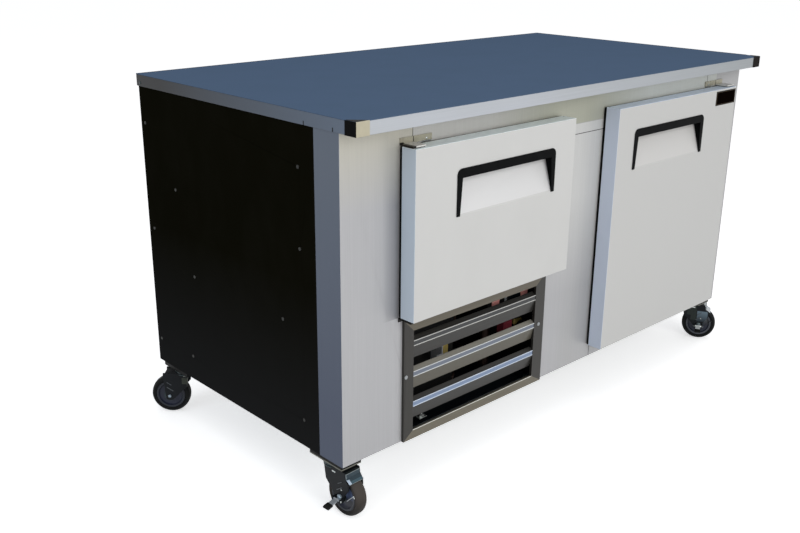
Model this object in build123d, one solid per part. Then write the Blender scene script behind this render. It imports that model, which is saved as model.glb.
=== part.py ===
from build123d import *
import os

# Two-door undercounter refrigerator on swivel casters. Millimetres, +Z up, front faces -Y.
# The origin is on the floor, under the middle of the worktop.

# ---- Driving dimensions -------------------------------------------------------------------
TOP_WIDTH = 1524.0
TOP_DEPTH = 818.0
TOTAL_HEIGHT = 890.0
BAND_HEIGHT = 29.0
FLOOR_CLEARANCE = 132.0
FRONT_OVERHANG = 55.0
BACK_OVERHANG = 3.0
SIDE_OVERHANG = 3.0

TOP_SHEET = 1.5
TRIM_SHEET = 1.5
SHEET = 1.0
BASE_SHEET = 1.5
LINER_SHEET = 0.8
WALL = 50.0

CAP_SHEET = 1.2
CAP_FRONT_LENGTH = 34.0
CAP_SIDE_LENGTH = 32.0
CAP_DROP = 0.5

STILE_WRAP = 77.0
LEFT_STILE_WIDTH = 197.0
RIGHT_STILE_WIDTH = 125.0
RIGHT_STILE_HEAD = 51.0
HEADER_HEIGHT = 76.0
HEADER_TAB = 27.0
MULLION_WIDTH = 264.0
MULLION_FOOT_INSET = 14.0
BOTTOM_RAIL_HEIGHT = 65.0
STEP_RAIL_HEIGHT = 75.0
STEP_HEIGHT = 343.0
LEFT_OPENING = 425.0
BAY_STEP = 85.0

DOOR_THICKNESS = 40.0
DOOR_OVERLAP = 28.0
LEFT_DOOR_OVERLAP = 37.0
LEFT_DOOR_MULLION_LAP = 60.0
LEFT_DOOR_FOOT_LAP = 36.0
DOOR_TOP_LAP = 28.0
GASKET_DEPTH = 8.0
GASKET_WIDTH = 15.0
GASKET_INSET = 11.5
PIN_INSET = 10.0
PIN_RADIUS = 4.0
PIN_FIT = 0.08
DOOR_GAP = 2.0
HINGE_LEAF = 36.0
HINGE_WING = 90.0
HINGE_SHEET = 3.0
HINGE_FLANGE = 2.5
HINGE_HEAD_FLANGE = 14.0
HINGE_FOOT_FLANGE = 9.0
HINGE_REACH = 12.0
PIN_LENGTH = 24.0

HANDLE_WIDTH = 328.0
HANDLE_HEIGHT = 104.0
HANDLE_INSET = 72.0
HANDLE_DROP = 59.0
HANDLE_LEG = 12.0
HANDLE_LEG_FOOT = 10.0
HANDLE_LEG_HEAD = 16.0
HANDLE_BAR = 21.0
HANDLE_PROUD = 2.5
HANDLE_CORNER = 14.0
RECESS_DEPTH = 30.0
RECESS_WALL = 2.0

GRILLE_WIDTH = 484.0
GRILLE_BAR = 29.0
GRILLE_RIGHT_BAR = 36.0
GRILLE_FOOT_BAR = 21.0
GRILLE_LAP = 24.0
GRILLE_PROUD = 7.0
GRILLE_HEAD_GAP = 12.0
SLAT_COUNT = 3
SLAT_PITCH = 74.5
SLAT_NOSE = 11.5
SLAT_SHEET = 1.2
SLAT_TOP_RUN = 10.0
SLAT_TOP_RISE = 7.5
SLAT_LOW_RUN = 8.0
SLAT_LOW_DROP = 33.0
FIRST_SLAT_DROP = 54.0
GRILLE_SCREW_INSETS = (6.0, 20.0)
GRILLE_SCREW_LIFT = 13.0

WHEEL_RADIUS = 50.8
WHEEL_WIDTH = 30.0
HUB_RADIUS = 33.0
LEFT_CASTER_INSET = 28.0
RIGHT_CASTER_INSET = 42.0
FRONT_CASTER_SETBACK = 113.4
REAR_CASTER_SETBACK = 78.6
CASTER_TRAIL = 40.0
PAD_THICK = 6.0
PLATE_THICK = 3.0
PLATE_WIDTH = 56.0
PLATE_LENGTH = 110.0
PLATE_HOLE_X = 19.0
PLATE_HOLE_Y = 45.0
PLATE_HOLE_RADIUS = 4.2
AXLE_RADIUS = 5.0
AXLE_FIT = 0.08
FORK_SHEET = 3.0
FORK_GAP = 4.0
GUARD_FOLD = CASTER_TRAIL + 17.0
GUARD_END = CASTER_TRAIL + 43.0
GUARD_DROP = 22.0
RACE_RADIUS = 26.0
RACE_HEIGHT = 6.0
CASTER_TURN = {"front_left": -88.0, "front_right": -60.0, "rear_left": 135.0, "rear_right": 17.2}
KING_RADIUS = 6.0
KING_LENGTH = 4.0
AXLE_HEAD = 3.0
AXLE_NUT = 5.0
TYRE_ROUND = 5.0
HUB_STEP = 2.0
HUB_DISH = 4.0
HUB_RIM = 5.0
HUB_BOSS_RADIUS = 9.0
HUB_CORE_RADIUS = 13.0
BRAKE_PIN = 2.5
BRAKE_WIDTH = 20.0
BRAKE_LENGTH = 45.0
BRAKE_EAR = 3.0
BRAKE_STAND = 10.0
BRAKE_SHEET = 2.5
BRAKE_LIP = 7.0
EAR_REACH = 5.0

SHELF_WIRE = 5.0
SHELF_ROD = 3.0
SHELF_WELD = 0.5
SHELF_PITCH = 30.0
SHELF_SIDE_GAP = 14.0
STANDARD_WIDTH = 20.0
STANDARD_DEPTH = 8.0
STANDARD_INSET = 30.0
CLIP_WIDTH = 16.0
CLIP_HEIGHT = 6.0
LEFT_SHELF_LIFT = 70.0
RIGHT_SHELF_LIFTS = (190.0, 400.0)
LEFT_SHELF_REACH = 134.0
RIGHT_SHELF_REACH = 95.0

EVAP_WIDTH = 135.0
EVAP_FRONT_GAP = 90.0
EVAP_BACK_GAP = 100.0
EVAP_SHELF_GAP = 16.0
EVAP_COIL_DEPTH = 60.0
EVAP_FAN_SETBACK = 140.0
EVAP_MOTOR_RADIUS = 30.0
EVAP_MOTOR_DEPTH = 40.0
FAN_MOUTH_RIM = 27.0
FAN_TIP_GAP = 8.0
FAN_DEPTH = 14.0
FAN_HUB = 20.0
FAN_SHAFT = 4.0
FAN_PITCH = 32.0
FAN_BLADES = 5

TRAY_SHEET = 2.0
TRAY_SETBACK = 30.0
TRAY_DEPTH = 530.0
TRAY_LIP = 14.0
COIL_SETBACK = 95.0
COIL_DEPTH = 44.0
COIL_WIDTH = 220.0
COIL_HEIGHT = 210.0
SHROUD_DEPTH = 30.0
SHROUD_RIM = 9.0
FAN_MOTOR_RADIUS = 34.0
FAN_MOTOR_DEPTH = 46.0
FAN_MOTOR_GAP = 24.0
STRAP_WIDTH = 24.0
COMPRESSOR_SETBACK = 330.0
COMPRESSOR_RADIUS = 70.0
COMPRESSOR_HEIGHT = 124.0
COMPRESSOR_FOOT = 14.0
COMPRESSOR_ROUND = 26.0
LINE_RADIUS = 4.0
LINE_BEND = 18.0
DRIER_RADIUS = 14.0
DRIER_LENGTH = 100.0
PAN_GAP = 20.0
PAN_DEPTH = 130.0
PAN_HEIGHT = 40.0
PORT_SIDE = 40.0
PORT_REACH = 78.0
PORT_HEIGHT = 96.0
PORT_RADIUS = 6.0

SCREW_HEAD = 4.0
SCREW_PROUD = 1.4
SCREW_SHANK = 2.0
# Side panel screws as shares of the cabinet's depth and height.
SIDE_SCREWS = [(0.812, 0.679), (0.966, 0.51), (0.17, 0.638), (0.73, 0.395), (0.259, 0.394), (0.974, 0.0905),
               (0.771, 0.0905), (0.17, 0.0905), (0.974, 0.878), (0.17, 0.878)]
TOUCH_GAP = 0.3

# ---- Derived places -----------------------------------------------------------------------
TOP_Z = TOTAL_HEIGHT
BAND_Z = TOP_Z - BAND_HEIGHT
BASE_Z = FLOOR_CLEARANCE
TOP_LEFT = -TOP_WIDTH / 2
TOP_RIGHT = TOP_WIDTH / 2
TOP_FRONT = -(TOP_DEPTH - CAP_SHEET) / 2
TOP_BACK = TOP_FRONT + TOP_DEPTH
LEFT = TOP_LEFT + SIDE_OVERHANG
RIGHT = TOP_RIGHT - SIDE_OVERHANG
FRONT = TOP_FRONT + FRONT_OVERHANG
BACK = TOP_BACK - BACK_OVERHANG

STILE_X = LEFT + LEFT_STILE_WIDTH
RIGHT_STILE_X = RIGHT - RIGHT_STILE_WIDTH
HEADER_Z = BAND_Z - HEADER_HEIGHT
RAIL_Z = BASE_Z + BOTTOM_RAIL_HEIGHT
STEP_Z = BASE_Z + STEP_HEIGHT
STEP_RAIL_Z = STEP_Z - STEP_RAIL_HEIGHT
MULLION_LEFT = STILE_X + LEFT_OPENING
MULLION_RIGHT = MULLION_LEFT + MULLION_WIDTH

CAVITY_LEFT = LEFT + WALL
CAVITY_RIGHT = RIGHT - WALL
CAVITY_FRONT = FRONT + WALL
CAVITY_BACK = BACK - WALL
CAVITY_TOP = BAND_Z - WALL
CAVITY_FLOOR = BASE_Z + WALL
BAY_LEFT = MULLION_LEFT + BAY_STEP
STEP_UNDER = STEP_Z - WALL
MACHINE_RIGHT = BAY_LEFT - WALL

DOOR_BACK = FRONT - GASKET_DEPTH
DOOR_FRONT = DOOR_BACK - DOOR_THICKNESS
PIN_Y = DOOR_FRONT + DOOR_THICKNESS / 2
DOOR_TOP = HEADER_Z + DOOR_TOP_LAP
LEFT_DOOR = (STILE_X - LEFT_DOOR_OVERLAP, MULLION_LEFT + LEFT_DOOR_MULLION_LAP,
             STEP_Z - LEFT_DOOR_FOOT_LAP, DOOR_TOP)
RIGHT_DOOR = (MULLION_RIGHT - DOOR_OVERLAP, RIGHT_STILE_X + DOOR_OVERLAP, RAIL_Z - DOOR_OVERLAP, DOOR_TOP)

GRILLE_LEFT = STILE_X - GRILLE_LAP
GRILLE_RIGHT = GRILLE_LEFT + GRILLE_WIDTH
GRILLE_LOW = BASE_Z
GRILLE_HIGH = LEFT_DOOR[2] - GRILLE_HEAD_GAP

PARTS = {}


def block(x0, x1, y0, y1, z0, z1):
    """Box between two corners."""
    return Pos((x0 + x1) / 2, (y0 + y1) / 2, (z0 + z1) / 2) * Box(x1 - x0, y1 - y0, z1 - z0)


def rod_x(x0, x1, y, z, radius):
    """Cylinder along X."""
    return Pos((x0 + x1) / 2, y, z) * Rot(0, 90, 0) * Cylinder(radius, x1 - x0)


def rod_y(x, y0, y1, z, radius):
    """Cylinder along Y."""
    return Pos(x, (y0 + y1) / 2, z) * Rot(90, 0, 0) * Cylinder(radius, y1 - y0)


def rod_z(x, y, z0, z1, radius):
    """Cylinder along Z."""
    return Pos(x, y, (z0 + z1) / 2) * Cylinder(radius, z1 - z0)


def plate_y(corners, y0, y1):
    """Closed (x, z) outline extruded along Y."""
    face = make_face(Polyline(*[(x, y0, z) for x, z in corners], close=True))
    return extrude(face, amount=y1 - y0, dir=(0, 1, 0))


def tray_of(x0, x1, y0, y1, z0, z1, sheet, open_side):
    """Sheet box with one open side, named by its outward direction."""
    inner = {"x0": x0 + sheet, "x1": x1 - sheet, "y0": y0 + sheet, "y1": y1 - sheet,
             "z0": z0 + sheet, "z1": z1 - sheet}
    outer = {"x0": x0, "x1": x1, "y0": y0, "y1": y1, "z0": z0, "z1": z1}
    inner[open_side] = outer[open_side]
    hollow = block(inner["x0"], inner["x1"], inner["y0"], inner["y1"], inner["z0"], inner["z1"])
    return block(x0, x1, y0, y1, z0, z1) - hollow


def keep(name, *solids):
    """Register one node made of one or more separate solids."""
    PARTS[name] = solids[0] if len(solids) == 1 else Compound(children=list(solids))


# ---- Worktop ------------------------------------------------------------------------------
def worktop():
    under = TOP_Z - TOP_SHEET
    keep("worktop_panel", block(TOP_LEFT, TOP_RIGHT, TOP_FRONT, TOP_BACK, under, TOP_Z))
    band = block(TOP_LEFT, TOP_RIGHT, TOP_FRONT, TOP_BACK, BAND_Z, under)
    core = block(TOP_LEFT + TRIM_SHEET, TOP_RIGHT - TRIM_SHEET,
                 TOP_FRONT + TRIM_SHEET, TOP_BACK - TRIM_SHEET, BAND_Z, under)
    keep("worktop_edge_trim", band - core)
    keep("worktop_core", core)
    keep("worktop_corner_caps", corner_cap(TOP_LEFT, 1), corner_cap(TOP_RIGHT, -1))


def corner_cap(x, inward):
    """Folded cap that wraps one front corner of the band."""
    low = BAND_Z - CAP_DROP
    front_run = sorted([x - inward * CAP_SHEET, x + inward * CAP_FRONT_LENGTH])
    side_run = sorted([x - inward * CAP_SHEET, x])
    front = block(front_run[0], front_run[1], TOP_FRONT - CAP_SHEET, TOP_FRONT, low, TOP_Z)
    side = block(side_run[0], side_run[1], TOP_FRONT - CAP_SHEET, TOP_FRONT + CAP_SIDE_LENGTH, low, TOP_Z)
    return front + side


# ---- Outer casing -------------------------------------------------------------------------
def casing():
    wrap_y = FRONT + STILE_WRAP
    floor = BASE_Z + BASE_SHEET
    keep("left_side_panel", block(LEFT, LEFT + SHEET, wrap_y, BACK, BASE_Z, BAND_Z))
    keep("right_side_panel", block(RIGHT - SHEET, RIGHT, wrap_y, BACK, BASE_Z, BAND_Z))
    keep("back_panel", block(LEFT + SHEET, RIGHT - SHEET, BACK - SHEET, BACK, BASE_Z, BAND_Z))
    keep("base_pan", block(LEFT + SHEET, RIGHT - SHEET, FRONT + SHEET, BACK - SHEET, BASE_Z, floor))
    left_face = block(LEFT, STILE_X, FRONT, FRONT + SHEET, BASE_Z, BAND_Z)
    keep("left_stile", left_face + block(LEFT, LEFT + SHEET, FRONT, wrap_y, BASE_Z, BAND_Z))
    right_face = block(RIGHT_STILE_X, RIGHT, FRONT, FRONT + SHEET, BASE_Z, BAND_Z)
    right_head = block(RIGHT_STILE_X - RIGHT_STILE_HEAD, RIGHT_STILE_X, FRONT, FRONT + SHEET, HEADER_Z, BAND_Z)
    right_wrap = block(RIGHT - SHEET, RIGHT, FRONT, wrap_y, BASE_Z, BAND_Z)
    keep("right_stile", right_face + right_head + right_wrap)
    header = block(STILE_X, RIGHT_STILE_X - RIGHT_STILE_HEAD, FRONT, FRONT + SHEET, HEADER_Z, BAND_Z)
    tab = block(MULLION_LEFT, MULLION_RIGHT, FRONT, FRONT + SHEET, HEADER_Z - HEADER_TAB, HEADER_Z)
    keep("front_header", header + tab)
    upper = block(MULLION_LEFT, MULLION_RIGHT, FRONT, FRONT + SHEET, RAIL_Z, HEADER_Z - HEADER_TAB)
    foot = block(MULLION_LEFT, MULLION_RIGHT - MULLION_FOOT_INSET, FRONT, FRONT + SHEET, BASE_Z, RAIL_Z)
    arm = block(STILE_X, MULLION_LEFT, FRONT, FRONT + SHEET, STEP_RAIL_Z, STEP_Z)
    keep("centre_mullion", upper + foot + arm)
    keep("bottom_rail", block(MULLION_RIGHT - MULLION_FOOT_INSET, RIGHT_STILE_X, FRONT, FRONT + SHEET,
                              BASE_Z, RAIL_Z))


def cavity(grow):
    """Both cold bays and their door throats, grown outward by a sheet thickness."""
    bays = block(CAVITY_LEFT - grow, CAVITY_RIGHT + grow, CAVITY_FRONT - grow, CAVITY_BACK + grow,
                 STEP_Z - grow, CAVITY_TOP + grow)
    bays += block(BAY_LEFT - grow, CAVITY_RIGHT + grow, CAVITY_FRONT - grow, CAVITY_BACK + grow,
                  CAVITY_FLOOR - grow, CAVITY_TOP)
    bays += block(STILE_X - grow, MULLION_LEFT + grow, FRONT + SHEET, CAVITY_FRONT,
                  STEP_Z - grow, HEADER_Z + grow)
    bays += block(MULLION_RIGHT - grow, RIGHT_STILE_X + grow, FRONT + SHEET, CAVITY_FRONT,
                  RAIL_Z - grow, HEADER_Z + grow)
    return bays


def insulation():
    left = LEFT + SHEET
    right = RIGHT - SHEET
    front = FRONT + SHEET
    back = BACK - SHEET
    floor = BASE_Z + BASE_SHEET
    g = LINER_SHEET
    inner_front = CAVITY_FRONT - g
    roof_z = CAVITY_TOP + g
    step = STEP_Z - g
    boards = [
        block(left, right, front, back, roof_z, BAND_Z),
        block(left, right, CAVITY_BACK + g, back, STEP_UNDER, roof_z),
        block(MACHINE_RIGHT, right, CAVITY_BACK + g, back, floor, STEP_UNDER),
        block(left, CAVITY_LEFT - g, front, CAVITY_BACK + g, STEP_UNDER, roof_z),
        block(CAVITY_RIGHT + g, right, front, CAVITY_BACK + g, floor, roof_z),
        block(CAVITY_LEFT - g, BAY_LEFT - g, front, CAVITY_BACK + g, STEP_UNDER, step),
        block(MACHINE_RIGHT, BAY_LEFT - g, front, CAVITY_BACK + g, floor, STEP_UNDER),
        block(BAY_LEFT - g, CAVITY_RIGHT + g, front, CAVITY_BACK + g, floor, CAVITY_FLOOR - g),
        block(CAVITY_LEFT - g, STILE_X - g, front, inner_front, step, roof_z),
        block(RIGHT_STILE_X + g, CAVITY_RIGHT + g, front, inner_front, CAVITY_FLOOR - g, roof_z),
        block(STILE_X - g, MULLION_LEFT + g, front, inner_front, HEADER_Z + g, roof_z),
        block(MULLION_RIGHT - g, RIGHT_STILE_X + g, front, inner_front, HEADER_Z + g, roof_z),
        block(MULLION_LEFT + g, MULLION_RIGHT - g, front, inner_front, step, roof_z),
        block(BAY_LEFT - g, MULLION_RIGHT - g, front, inner_front, CAVITY_FLOOR - g, step),
        block(MULLION_RIGHT - g, RIGHT_STILE_X + g, front, inner_front, CAVITY_FLOOR - g, RAIL_Z - g),
    ]
    keep("insulation_boards", *boards)
    keep("inner_liner", cavity(LINER_SHEET) - cavity(0))


# ---- Doors --------------------------------------------------------------------------------
def handle_span(door, hinge_left):
    """Left and right edge of a door's handle, near the free edge."""
    if hinge_left:
        return door[1] - HANDLE_INSET - HANDLE_WIDTH, door[1] - HANDLE_INSET
    return door[0] + HANDLE_INSET, door[0] + HANDLE_INSET + HANDLE_WIDTH


def profile_x(points, x0, x1):
    """Closed (y, z) outline extruded along X."""
    face = make_face(Polyline(*[(x0, y, z) for y, z in points], close=True))
    return extrude(face, amount=x1 - x0, dir=(1, 0, 0))


def door_parts(side, door, hinge_left):
    x0, x1, z0, z1 = door
    h0, h1 = handle_span(door, hinge_left)
    top = z1 - HANDLE_DROP
    low = top - HANDLE_HEIGHT
    ceiling = top - HANDLE_LEG / 2
    in0 = h0 + HANDLE_LEG / 2
    in1 = h1 - HANDLE_LEG / 2
    deep = DOOR_FRONT + RECESS_DEPTH

    shell = tray_of(x0, x1, DOOR_FRONT, DOOR_BACK, z0, z1, SHEET, "y1")
    shell -= block(in0, in1, DOOR_FRONT, DOOR_FRONT + SHEET, low, ceiling)
    ramp = [(DOOR_FRONT, low), (deep, ceiling), (deep + SHEET, ceiling), (DOOR_FRONT + SHEET, low),
            (DOOR_FRONT + SHEET, low - SHEET), (DOOR_FRONT, low - SHEET)]
    shell += profile_x(ramp, in0, in1)
    pin_x = x0 + PIN_INSET if hinge_left else x1 - PIN_INSET
    pin_hole = rod_z(pin_x, PIN_Y, z0 - SHEET, z1 + SHEET, PIN_RADIUS + PIN_FIT)
    keep(f"{side}_door_skin", shell - pin_hole)

    back = DOOR_BACK - LINER_SHEET
    core = block(x0 + SHEET, x1 - SHEET, DOOR_FRONT + SHEET, back, z0 + SHEET, z1 - SHEET)
    core -= block(in0 - RECESS_WALL, in1 + RECESS_WALL, DOOR_FRONT, deep + RECESS_WALL, low - RECESS_WALL,
                  top + RECESS_WALL)
    keep(f"{side}_door_core", core - pin_hole)
    keep(f"{side}_door_liner", block(x0 + SHEET, x1 - SHEET, back, DOOR_BACK, z0 + SHEET, z1 - SHEET))

    g = GASKET_INSET
    w = GASKET_INSET + GASKET_WIDTH
    ring = block(x0 + g, x1 - g, DOOR_BACK, FRONT, z0 + g, z1 - g)
    keep(f"{side}_door_gasket", ring - block(x0 + w, x1 - w, DOOR_BACK, FRONT, z0 + w, z1 - w))
    keep(f"{side}_door_handle", handle(h0, h1, in0, in1, low, ceiling, top, deep))


def handle(h0, h1, in0, in1, low, ceiling, top, deep):
    """Inverted-U grip with the ceiling and cheeks of its scoop."""
    proud = DOOR_FRONT - HANDLE_PROUD
    lip = block(h0, h1, proud, DOOR_FRONT, low, top)
    lip = fillet(lip.edges().filter_by(Axis.Y).sort_by(Axis.Z)[-2:], HANDLE_CORNER)
    foot = HANDLE_LEG_FOOT
    head = HANDLE_LEG_HEAD
    under = top - HANDLE_BAR
    opening = [(h0 + foot, low), (h1 - foot, low), (h1 - head, under), (h0 + head, under)]
    lip -= plate_y(opening, proud, DOOR_FRONT)
    grip = block(in0, in1, DOOR_FRONT, DOOR_FRONT + SHEET, top - HANDLE_BAR, ceiling)
    roof_front = DOOR_FRONT + SHEET
    fall = (ceiling - low) / RECESS_DEPTH
    roof_end = deep - (RECESS_WALL + SHEET) / fall
    roof = profile_x([(roof_front, ceiling), (roof_front, ceiling - RECESS_WALL),
                      (roof_end, ceiling - RECESS_WALL), (roof_end, ceiling)], in0, in1)
    cheek = [(DOOR_FRONT, ceiling), (DOOR_FRONT, low + SHEET), (roof_end, ceiling - RECESS_WALL),
             (roof_end, ceiling)]
    cheeks = profile_x(cheek, in0, in0 + RECESS_WALL) + profile_x(cheek, in1 - RECESS_WALL, in1)
    return lip + grip + roof + cheeks


def hinge_bracket(door, hinge_left, upper):
    """Folded bracket on the cabinet front, with its pin in the door."""
    x0, x1, z0, z1 = door
    out = 1 if hinge_left else -1
    edge = x0 if hinge_left else x1
    up = 1 if upper else -1
    face_z = z1 if upper else z0
    pin_x = edge + out * PIN_INSET
    wing = HINGE_WING if upper else HINGE_LEAF
    rise = HINGE_HEAD_FLANGE if upper else HINGE_FOOT_FLANGE
    xa, xb = sorted([edge, edge + out * HINGE_LEAF])
    wa, wb = sorted([edge, edge + out * wing])
    za, zb = sorted([face_z + up * DOOR_GAP, face_z + up * (DOOR_GAP + HINGE_SHEET)])
    fa, fb = sorted([face_z + up * DOOR_GAP, face_z + up * (DOOR_GAP + rise)])
    leg = block(xa, xb, PIN_Y - HINGE_REACH, FRONT, za, zb)
    flange = block(wa, wb, FRONT - HINGE_FLANGE, FRONT, fa, fb)
    pa, pb = sorted([face_z + up * (DOOR_GAP + HINGE_SHEET), face_z - up * PIN_LENGTH])
    return leg + flange + rod_z(pin_x, PIN_Y, pa, pb, PIN_RADIUS)


def hinges():
    brackets = []
    for door, hinge_left in ((LEFT_DOOR, True), (RIGHT_DOOR, False)):
        for upper in (True, False):
            brackets.append(hinge_bracket(door, hinge_left, upper))
    keep("door_hinge_brackets", *brackets)


# ---- Grille -------------------------------------------------------------------------------
def grille():
    x0, x1, z0, z1 = GRILLE_LEFT, GRILLE_RIGHT, GRILLE_LOW, GRILLE_HIGH
    left = x0 + GRILLE_BAR
    right = x1 - GRILLE_RIGHT_BAR
    foot = z0 + GRILLE_FOOT_BAR
    head = z1 - GRILLE_BAR
    front = FRONT - GRILLE_PROUD
    inner = [(left, foot), (right, foot), (right, head), (left, head)]
    outer = [(x0, z0), (x1, z0), (x1, z1), (x0, z1)]
    bars = []
    for i in range(4):
        j = (i + 1) % 4
        bars.append(plate_y([outer[i], outer[j], inner[j], inner[i]], front, FRONT))
    keep("grille_frame", *bars)
    slats = []
    for i in range(SLAT_COUNT):
        nose = z1 - FIRST_SLAT_DROP - i * SLAT_PITCH
        slats.append(grille_slat(nose, left, right, front + 1.0))
    keep("grille_slats", *slats)


def grille_slat(nose, x0, x1, front):
    """Folded louvre blade: top flange, upright nose and lower flange."""
    t = SLAT_SHEET
    low = nose - SLAT_NOSE
    points = [(front, nose), (front, low), (front + SLAT_LOW_RUN, low - SLAT_LOW_DROP),
              (front + SLAT_LOW_RUN + t, low - SLAT_LOW_DROP), (front + t, low), (front + t, nose),
              (front + SLAT_TOP_RUN + t, nose + SLAT_TOP_RISE), (front + SLAT_TOP_RUN, nose + SLAT_TOP_RISE)]
    blade = profile_x(points, x0, x1)
    tab_z = (low - 2.0, nose - 2.0)
    for xa, xb in ((x0, x0 + 2.0), (x1 - 2.0, x1)):
        blade += block(xa, xb, front, FRONT - 1.0, tab_z[0], tab_z[1])
    return blade


# ---- Screws -------------------------------------------------------------------------------
def grille_screw_spots():
    """(x, z) of the screws in the two upright bars."""
    middle = (GRILLE_LOW + GRILLE_HIGH) / 2 + GRILLE_SCREW_LIFT
    return [(GRILLE_LEFT + GRILLE_SCREW_INSETS[0], middle), (GRILLE_RIGHT - GRILLE_SCREW_INSETS[1], middle)]


def screws():
    """Heads and shanks of the side panel and grille screws, with their holes."""
    solids = []
    for along, up in SIDE_SCREWS:
        y = FRONT + along * (BACK - FRONT)
        z = BASE_Z + up * (BAND_Z - BASE_Z)
        for name, x, out in (("left_side_panel", LEFT, -1), ("right_side_panel", RIGHT, 1)):
            xa, xb = sorted([x, x - out * SHEET])
            ha, hb = sorted([x, x + out * SCREW_PROUD])
            shank = rod_x(xa, xb, y, z, SCREW_SHANK)
            PARTS[name] = PARTS[name] - shank
            solids.append(shank + rod_x(ha, hb, y, z, SCREW_HEAD))
    front = FRONT - GRILLE_PROUD
    for x, z in grille_screw_spots():
        shank = rod_y(x, front, FRONT + SHEET, z, SCREW_SHANK)
        for name in ("left_stile", "centre_mullion"):
            PARTS[name] = PARTS[name] - shank
        bars = [bar - shank for bar in PARTS["grille_frame"].solids()]
        keep("grille_frame", *[bar.solids()[0] if isinstance(bar, ShapeList) else bar for bar in bars])
        solids.append(shank + rod_y(x, front - SCREW_PROUD, front, z, SCREW_HEAD + 0.5))
    keep("casing_screws", *solids)


# ---- Casters ------------------------------------------------------------------------------
def caster_spots():
    left = LEFT + LEFT_CASTER_INSET
    right = RIGHT - RIGHT_CASTER_INSET
    front = TOP_FRONT + FRONT_CASTER_SETBACK
    rear = BACK - REAR_CASTER_SETBACK
    return {
        "front_left": (left, front),
        "front_right": (right, front),
        "rear_left": (left, rear),
        "rear_right": (right, rear),
    }


PLATE_TOP = BASE_Z - PAD_THICK
RACE_TOP = PLATE_TOP - PLATE_THICK
CROWN_TOP = RACE_TOP - RACE_HEIGHT - TOUCH_GAP
LEG_X = WHEEL_WIDTH / 2 + FORK_GAP


def caster_plate():
    """Fixed top plate with its raceway and kingpin, at the swivel axis."""
    plate = Pos(0, 0, (RACE_TOP + PLATE_TOP) / 2) * Box(PLATE_WIDTH, PLATE_LENGTH, PLATE_THICK)
    race = rod_z(0, 0, RACE_TOP - RACE_HEIGHT, RACE_TOP, RACE_RADIUS)
    king = rod_z(0, 0, CROWN_TOP - FORK_SHEET - KING_LENGTH, RACE_TOP, KING_RADIUS)
    slot = Pos(0, 0, (RACE_TOP + PLATE_TOP) / 2)
    for sx in (-1, 1):
        for sy in (-1, 1):
            spot = slot * Pos(sx * PLATE_HOLE_X, sy * PLATE_HOLE_Y, 0)
            plate -= spot * Cylinder(PLATE_HOLE_RADIUS, PLATE_THICK)
    return plate + race + king


def caster_fork():
    """Swivel fork trailing along +X; the wheel runs between its legs."""
    crown = rod_z(0, 0, CROWN_TOP - FORK_SHEET, CROWN_TOP, RACE_RADIUS)
    crown += block(0, CASTER_TRAIL * 0.55, -LEG_X - FORK_SHEET, LEG_X + FORK_SHEET,
                   CROWN_TOP - FORK_SHEET, CROWN_TOP)
    crown -= rod_z(0, 0, CROWN_TOP - FORK_SHEET, CROWN_TOP, KING_RADIUS + AXLE_FIT)
    for s in (-1, 1):
        ya, yb = sorted([s * LEG_X, s * (LEG_X + FORK_SHEET)])
        outline = [(-RACE_RADIUS * 0.55, CROWN_TOP), (CASTER_TRAIL * 0.55, CROWN_TOP),
                   (CASTER_TRAIL + 13.0, WHEEL_RADIUS), (CASTER_TRAIL + 6.0, WHEEL_RADIUS - 12.0),
                   (CASTER_TRAIL - 8.0, WHEEL_RADIUS - 10.0)]
        face = make_face(Polyline(*[(x, ya, z) for x, z in outline], close=True))
        crown += extrude(face, amount=yb - ya, dir=(0, 1, 0))
    hole = rod_y(CASTER_TRAIL, -LEG_X - FORK_SHEET, LEG_X + FORK_SHEET, WHEEL_RADIUS, AXLE_RADIUS + AXLE_FIT)
    crown -= hole
    end = LEG_X + FORK_SHEET
    axle = rod_y(CASTER_TRAIL, -end, end, WHEEL_RADIUS, AXLE_RADIUS)
    axle += rod_y(CASTER_TRAIL, end, end + AXLE_NUT, WHEEL_RADIUS, AXLE_RADIUS + AXLE_HEAD)
    axle += rod_y(CASTER_TRAIL, -end - AXLE_NUT, -end, WHEEL_RADIUS, AXLE_RADIUS + AXLE_HEAD)
    return crown, axle


def caster_wheel():
    """Tyre and hub as two solids."""
    half = WHEEL_WIDTH / 2
    tyre = rod_y(CASTER_TRAIL, -half, half, WHEEL_RADIUS, WHEEL_RADIUS)
    tyre = fillet(tyre.edges().filter_by(GeomType.CIRCLE), TYRE_ROUND)
    tyre -= rod_y(CASTER_TRAIL, -half, half, WHEEL_RADIUS, HUB_RADIUS)
    face = half - HUB_STEP
    hub = rod_y(CASTER_TRAIL, -face, face, WHEEL_RADIUS, HUB_RADIUS)
    for s in (-1, 1):
        ya, yb = sorted([s * face, s * (face - HUB_DISH)])
        dish = rod_y(CASTER_TRAIL, ya, yb, WHEEL_RADIUS, HUB_RADIUS - HUB_RIM)
        hub -= dish - rod_y(CASTER_TRAIL, ya, yb, WHEEL_RADIUS, HUB_CORE_RADIUS)
    boss = half + FORK_GAP - TOUCH_GAP
    hub += rod_y(CASTER_TRAIL, -boss, boss, WHEEL_RADIUS, HUB_BOSS_RADIUS)
    hub -= rod_y(CASTER_TRAIL, -boss, boss, WHEEL_RADIUS, AXLE_RADIUS + AXLE_FIT)
    return tyre, hub


BRAKE_OUT = LEG_X + FORK_SHEET
BRAKE_PIVOT_Z = WHEEL_RADIUS - 3.0


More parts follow.
